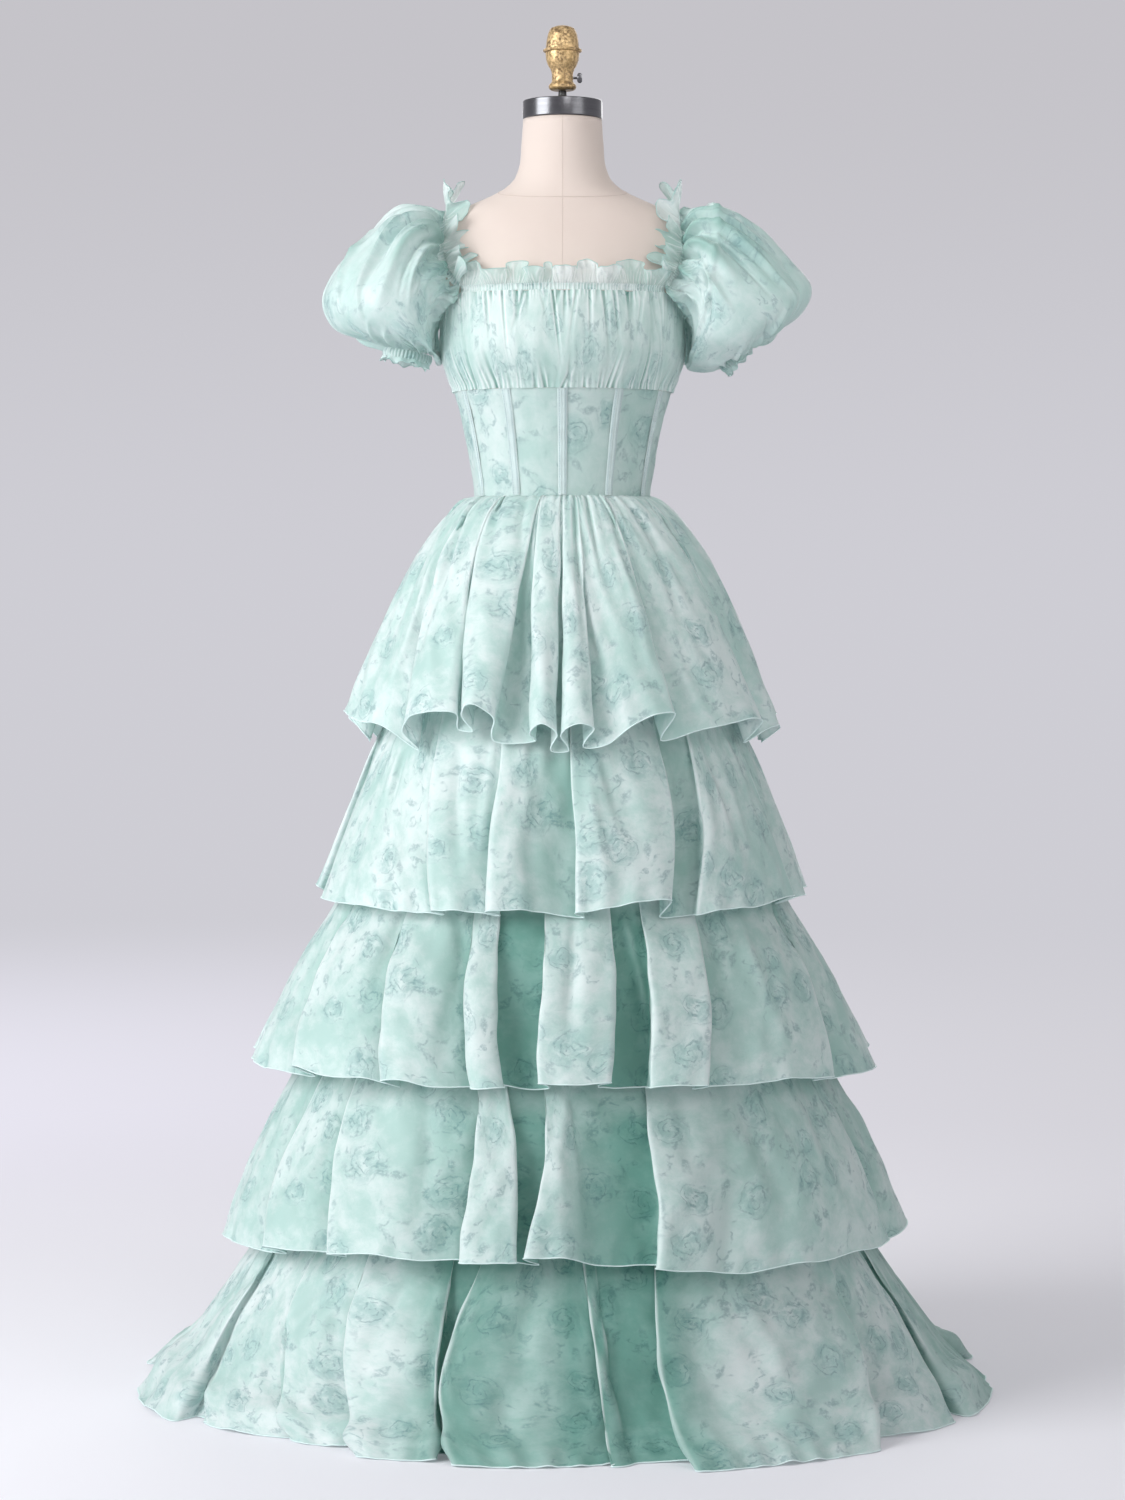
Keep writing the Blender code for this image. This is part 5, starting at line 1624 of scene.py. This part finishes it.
def sleeve_points(side):
    """A puff sleeve's sheet, with its gathers at both ends and its own creases, and its painted shade in the
    furrows and near the armhole.
    """
    control = np.stack([armhole_ring(), *[sleeve_ring(row) for row in SLEEVES[side]]])
    points = closed_surface(control, 84, 520)
    flat = flat_coordinates(points, closed=True)[:, :-1]
    u, v = flat[..., 0], -flat[..., 1]
    width, length = u[0, -1], v[-1, 0]
    seed = 201 if side == "left" else 221
    amount = SLEEVE_OUT - rows_of_gathers(u, v, SLEEVE_GATHERS, seed)
    amount += ripples(u, v, seed + 3, depth=0.0020, across=0.060, down=0.20) * np.sin(math.pi * v / length)
    amount -= creases(u, v, SLEEVE_CREASES[side], width / 360, length, CREASES_DEEPER, CREASES_NARROWER)
    # Painted shade in the furrows and near the armhole.
    shade = 0.60 * np.clip((-0.001 - amount) / 0.0085, 0.0, 1.0) + 0.10 * np.exp(-v / 0.03)
    return pushed(points, amount, closed=True), shade


def cuff_points(side):
    """Puckered casing and tiny frill of a cuff, carried on from the sleeve's last ring, with painted shade
    between the puckers.
    """
    waves = CUFF_WAVES[side]
    ring = sleeve_ring(SLEEVES[side][-1], CUFF_COLUMNS)
    centre = ring.mean(axis=0)
    way_out = unit(np.cross(ring[CUFF_COLUMNS // 4] - centre, ring[0] - centre))
    if way_out[2] > 0:
        way_out = -way_out
    turn = 2 * math.pi * np.arange(CUFF_COLUMNS) / CUFF_COLUMNS
    pucker = np.abs(np.cos(turn * waves))
    rows = np.linspace(0.0, 1.0, 10)[:, None]
    # Painted shade between the puckers.
    shade = 0.55 * (1.0 - pucker) * np.ones_like(rows)
    swell = 1.0 + 0.050 * np.sin(math.pi * rows) + 0.060 * (pucker - 0.6)
    reach = 0.0015 + (CASING_HEIGHT + 0.002) * rows + 0 * swell
    band = centre + (ring - centre) * swell[..., None] + way_out * reach[..., None]
    level = np.linspace(0.0, 1.0, 7)[:, None]
    flare = 1.0 + level * (0.07 * np.sin(turn * waves / 2) + 0.05 * np.sin(turn * 7 + 1))
    uneven = CUFF_FRILL_HEIGHT * (1.0 + 0.30 * np.sin(turn * 5 + 2) + 0.25 * np.sin(turn * 12))
    reach = CASING_HEIGHT - 0.0025 + (uneven + 0.0045) * level
    edge = centre + (ring - centre) * flare[..., None] + way_out * reach[..., None]
    return band, edge, shade


def add_sleeves(cloths):
    gathered, sheer, hem = cloths
    for side in ("left", "right"):
        points, shade = sleeve_points(side)
        band, edge, pucker_shade = cuff_points(side)
        if side == "right":
            points, band, edge = mirrored(points), mirrored(band), mirrored(edge)
            shade, pucker_shade = shade[:, ::-1], pucker_shade[:, ::-1]
        uv = flat_coordinates(points, closed=True, offset=SLEEVE_PRINT[side])
        sleeve, casing, frill = f"sleeve_{side}", f"cuff_casing_{side}", f"cuff_frill_{side}"
        patches = [patch(points, True, uv=uv, shade=shade)]
        add_cloth(sleeve + "_cloth", sleeve, patches, [gathered])
        patches = [patch(band, True, shade=pucker_shade)]
        add_cloth(casing + "_band", casing, patches, [gathered])
        rolled = bead(edge[-1], FRILL_BEAD, closed=True, sides=5)
        patches = [patch(edge, True), patch(rolled, True, finish=1)]
        add_cloth(frill + "_ruffle", frill, patches, [sheer, hem])


# ---------------------------------------------------------------- dress form

CAP_PROFILE = ((0.0, 1.6270), (0.0500, 1.6270), (0.0500, 1.6042), (0.0, 1.6042))
FLANGE_PROFILE = (
    # radius, height
    (0.0, 1.6400),
    (0.0050, 1.6400),
    (0.0055, 1.6330),
    (0.0120, 1.6312),
    (0.0168, 1.6273),
    (0.0, 1.6273),
)
KNOB_PROFILE = (
    (0.0, 1.7210),
    (0.0085, 1.7206),
    (0.0150, 1.7178),
    (0.0182, 1.7110),
    (0.0200, 1.7020),
    (0.0209, 1.6935),
    (0.0212, 1.6900),
    (0.0212, 1.6850),
    (0.0203, 1.6775),
    (0.0180, 1.6712),
    (0.0146, 1.6660),
    (0.0133, 1.6610),
    (0.0133, 1.6515),
    (0.0150, 1.6490),
    (0.0172, 1.6470),
    (0.0174, 1.6430),
    (0.0140, 1.6403),
    (0.0, 1.6403),
)
KNOB_RING_Z = 1.6900
KNOB_RING_RADIUS = 0.0226
SEAM_TOP_Z = 1.6030
SEAM_BOTTOM_Z = 0.90
NECKBAND_Z = 1.5150
NECKBAND_DIP = 0.0140  # how much lower the neckband's seam is in front than at the sides


def full_turn(count):
    return np.linspace(0.0, 2 * math.pi, count, endpoint=False)


def lathe(name, profile, finishes, columns):
    """A turned solid from a line of radius and height, both ends on its axis."""
    radii, heights = np.array(profile).T[..., None]
    turns = full_turn(columns)
    points = np.stack(np.broadcast_arrays(radii * np.sin(turns), -radii * np.cos(turns), heights), axis=-1)
    return add_patches(name, [patch(points, True)], finishes)


def rounded(profile, steps, radius):
    """A profile with each inner corner turned into a short arc."""
    points = [np.array(p) for p in profile]
    line = [points[0]]
    for before, here, after in zip(points, points[1:], points[2:]):
        back, ahead = before - here, after - here
        reach = min(radius, np.linalg.norm(back) / 2.1, np.linalg.norm(ahead) / 2.1)
        start, end = here + unit(back) * reach, here + unit(ahead) * reach
        for t in np.linspace(0.0, 1.0, steps):
            line.append((1 - t) ** 2 * start + 2 * t * (1 - t) * here + t * t * end)
    line.append(points[-1])
    return line


def closing_ring(ring):
    """A tiny ring at the middle of a ring, to close its end."""
    centre = ring.mean(axis=0)
    return (centre + (ring - centre) * 0.02)[None]


def add_torso(linen, thread):
    """The linen-covered torso with its centre front, centre back and neckband seams."""
    rows = np.linspace(FIGURE[0][0], FIGURE[-1][0], 110)[::-1, None]
    angles = np.linspace(-180.0, 180.0, 140, endpoint=False)[None, :]
    points = figure_points(angles, rows, -FORM_CLEARANCE)
    points = np.concatenate([closing_ring(points[0]), points, closing_ring(points[-1])])
    seams = []
    for angle in (0.0, 180.0):
        heights = np.linspace(SEAM_TOP_Z, SEAM_BOTTOM_Z, 160)
        line = figure_points(angle, heights, -FORM_CLEARANCE + 0.00005)
        seams.append(patch(bead(line, 0.00028)))
    turns = np.linspace(-180.0, 180.0, 200, endpoint=False)
    level = NECKBAND_Z - NECKBAND_DIP * np.cos(np.radians(turns))
    band = figure_points(turns, level, -FORM_CLEARANCE + 0.0001)
    seams.append(patch(bead(band, 0.00045, closed=True), True))
    dress_piece(add_patches("torso_linen", [patch(points, True)], [linen]), "linen", "form_torso")
    dress_piece(add_patches("torso_seams", seams, [thread]), "linen")


def add_form_fittings(steel, brass, black):
    cap = lathe("neck_cap_steel", rounded(CAP_PROFILE, 6, 0.0016), [steel], 128)
    dress_piece(cap, "steel", "form_neck_cap")
    flange = lathe("flange_black", rounded(FLANGE_PROFILE, 5, 0.0015), [black], 64)
    dress_piece(flange, "black_metal", "form_flange")
    knob = lathe("knob_brass", rounded(KNOB_PROFILE, 5, 0.0016), [brass], 96)
    dress_piece(knob, "brass", "form_knob")
    turns = full_turn(96)
    circle = np.stack([np.sin(turns), -np.cos(turns), 0 * turns], axis=-1) * KNOB_RING_RADIUS
    circle[:, 2] = KNOB_RING_Z
    ring = add_patches("knob_ring_brass", [patch(bead(circle, 0.0019, True, 12), True)], [brass])
    dress_piece(ring, "brass", "form_knob_ring")


# ---------------------------------------------------------------- the whole


def keep_solids(finishes):
    """Better materials for the CAD nodes that show as they are."""
    for node, finish in finishes.items():
        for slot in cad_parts[node].material_slots:
            slot.material = finish


def build():
    add_camera()
    add_studio()
    add_stage()
    cloth = organza("organza_print", (0.13, 0.07))
    bodice = organza("organza_bodice", (0.95, 0.12), mottle=0.42)
    gathered = organza("organza_gathered", (0.23, 0.64), mottle=0.40, ink=0.9)
    sheer = organza("organza_frill", (0.91, 0.47), sheer=0.22, ink=0.5)
    hem = plain("hem_thread", (0.72, 0.86, 0.85), 0.5)
    edge = plain("frill_edge", (0.42, 0.60, 0.57), 0.5)
    channel = plain("channel_tape", (0.54, 0.65, 0.64), 0.6, grain=0.3, spots=0.12)
    thread = plain("stitch_thread", (0.34, 0.46, 0.49), 0.6)
    lining = plain("lining_cloth", (0.36, 0.60, 0.54), 0.7, grain=0.2, spots=0.1)
    linen = linen_finish()
    seam_thread = plain("seam_thread", (0.58, 0.49, 0.44), 0.9)
    steel = brushed_steel()
    brass = cast_brass()
    black = plain("black_satin", (0.03, 0.03, 0.03), 0.35)
    iron = plain("iron_paint", (0.06, 0.06, 0.065), 0.5, grain=0.4, grain_scale=700.0, spots=0.2)
    enamel = plain("zip_enamel", (0.42, 0.60, 0.56), 0.35, metallic=0.3)
    for index, tier in enumerate(TIERS):
        add_tier(index, tier, cloth, hem)
    add_underskirt(lining)
    add_bust(gathered)
    add_midriff(bodice, channel, thread)
    add_zip_teeth(enamel)
    add_edges((gathered, sheer, edge))
    add_sleeves((gathered, sheer, edge))
    add_torso(linen, seam_thread)
    add_form_fittings(steel, brass, black)
    solids = {
        "thumb_screw": steel,
        "form_pole": steel,
        "form_base": iron,
        "zip_slider": enamel,
        "zip_pull": enamel,
        "zip_strip": lining,
    }
    keep_solids(solids)


build()
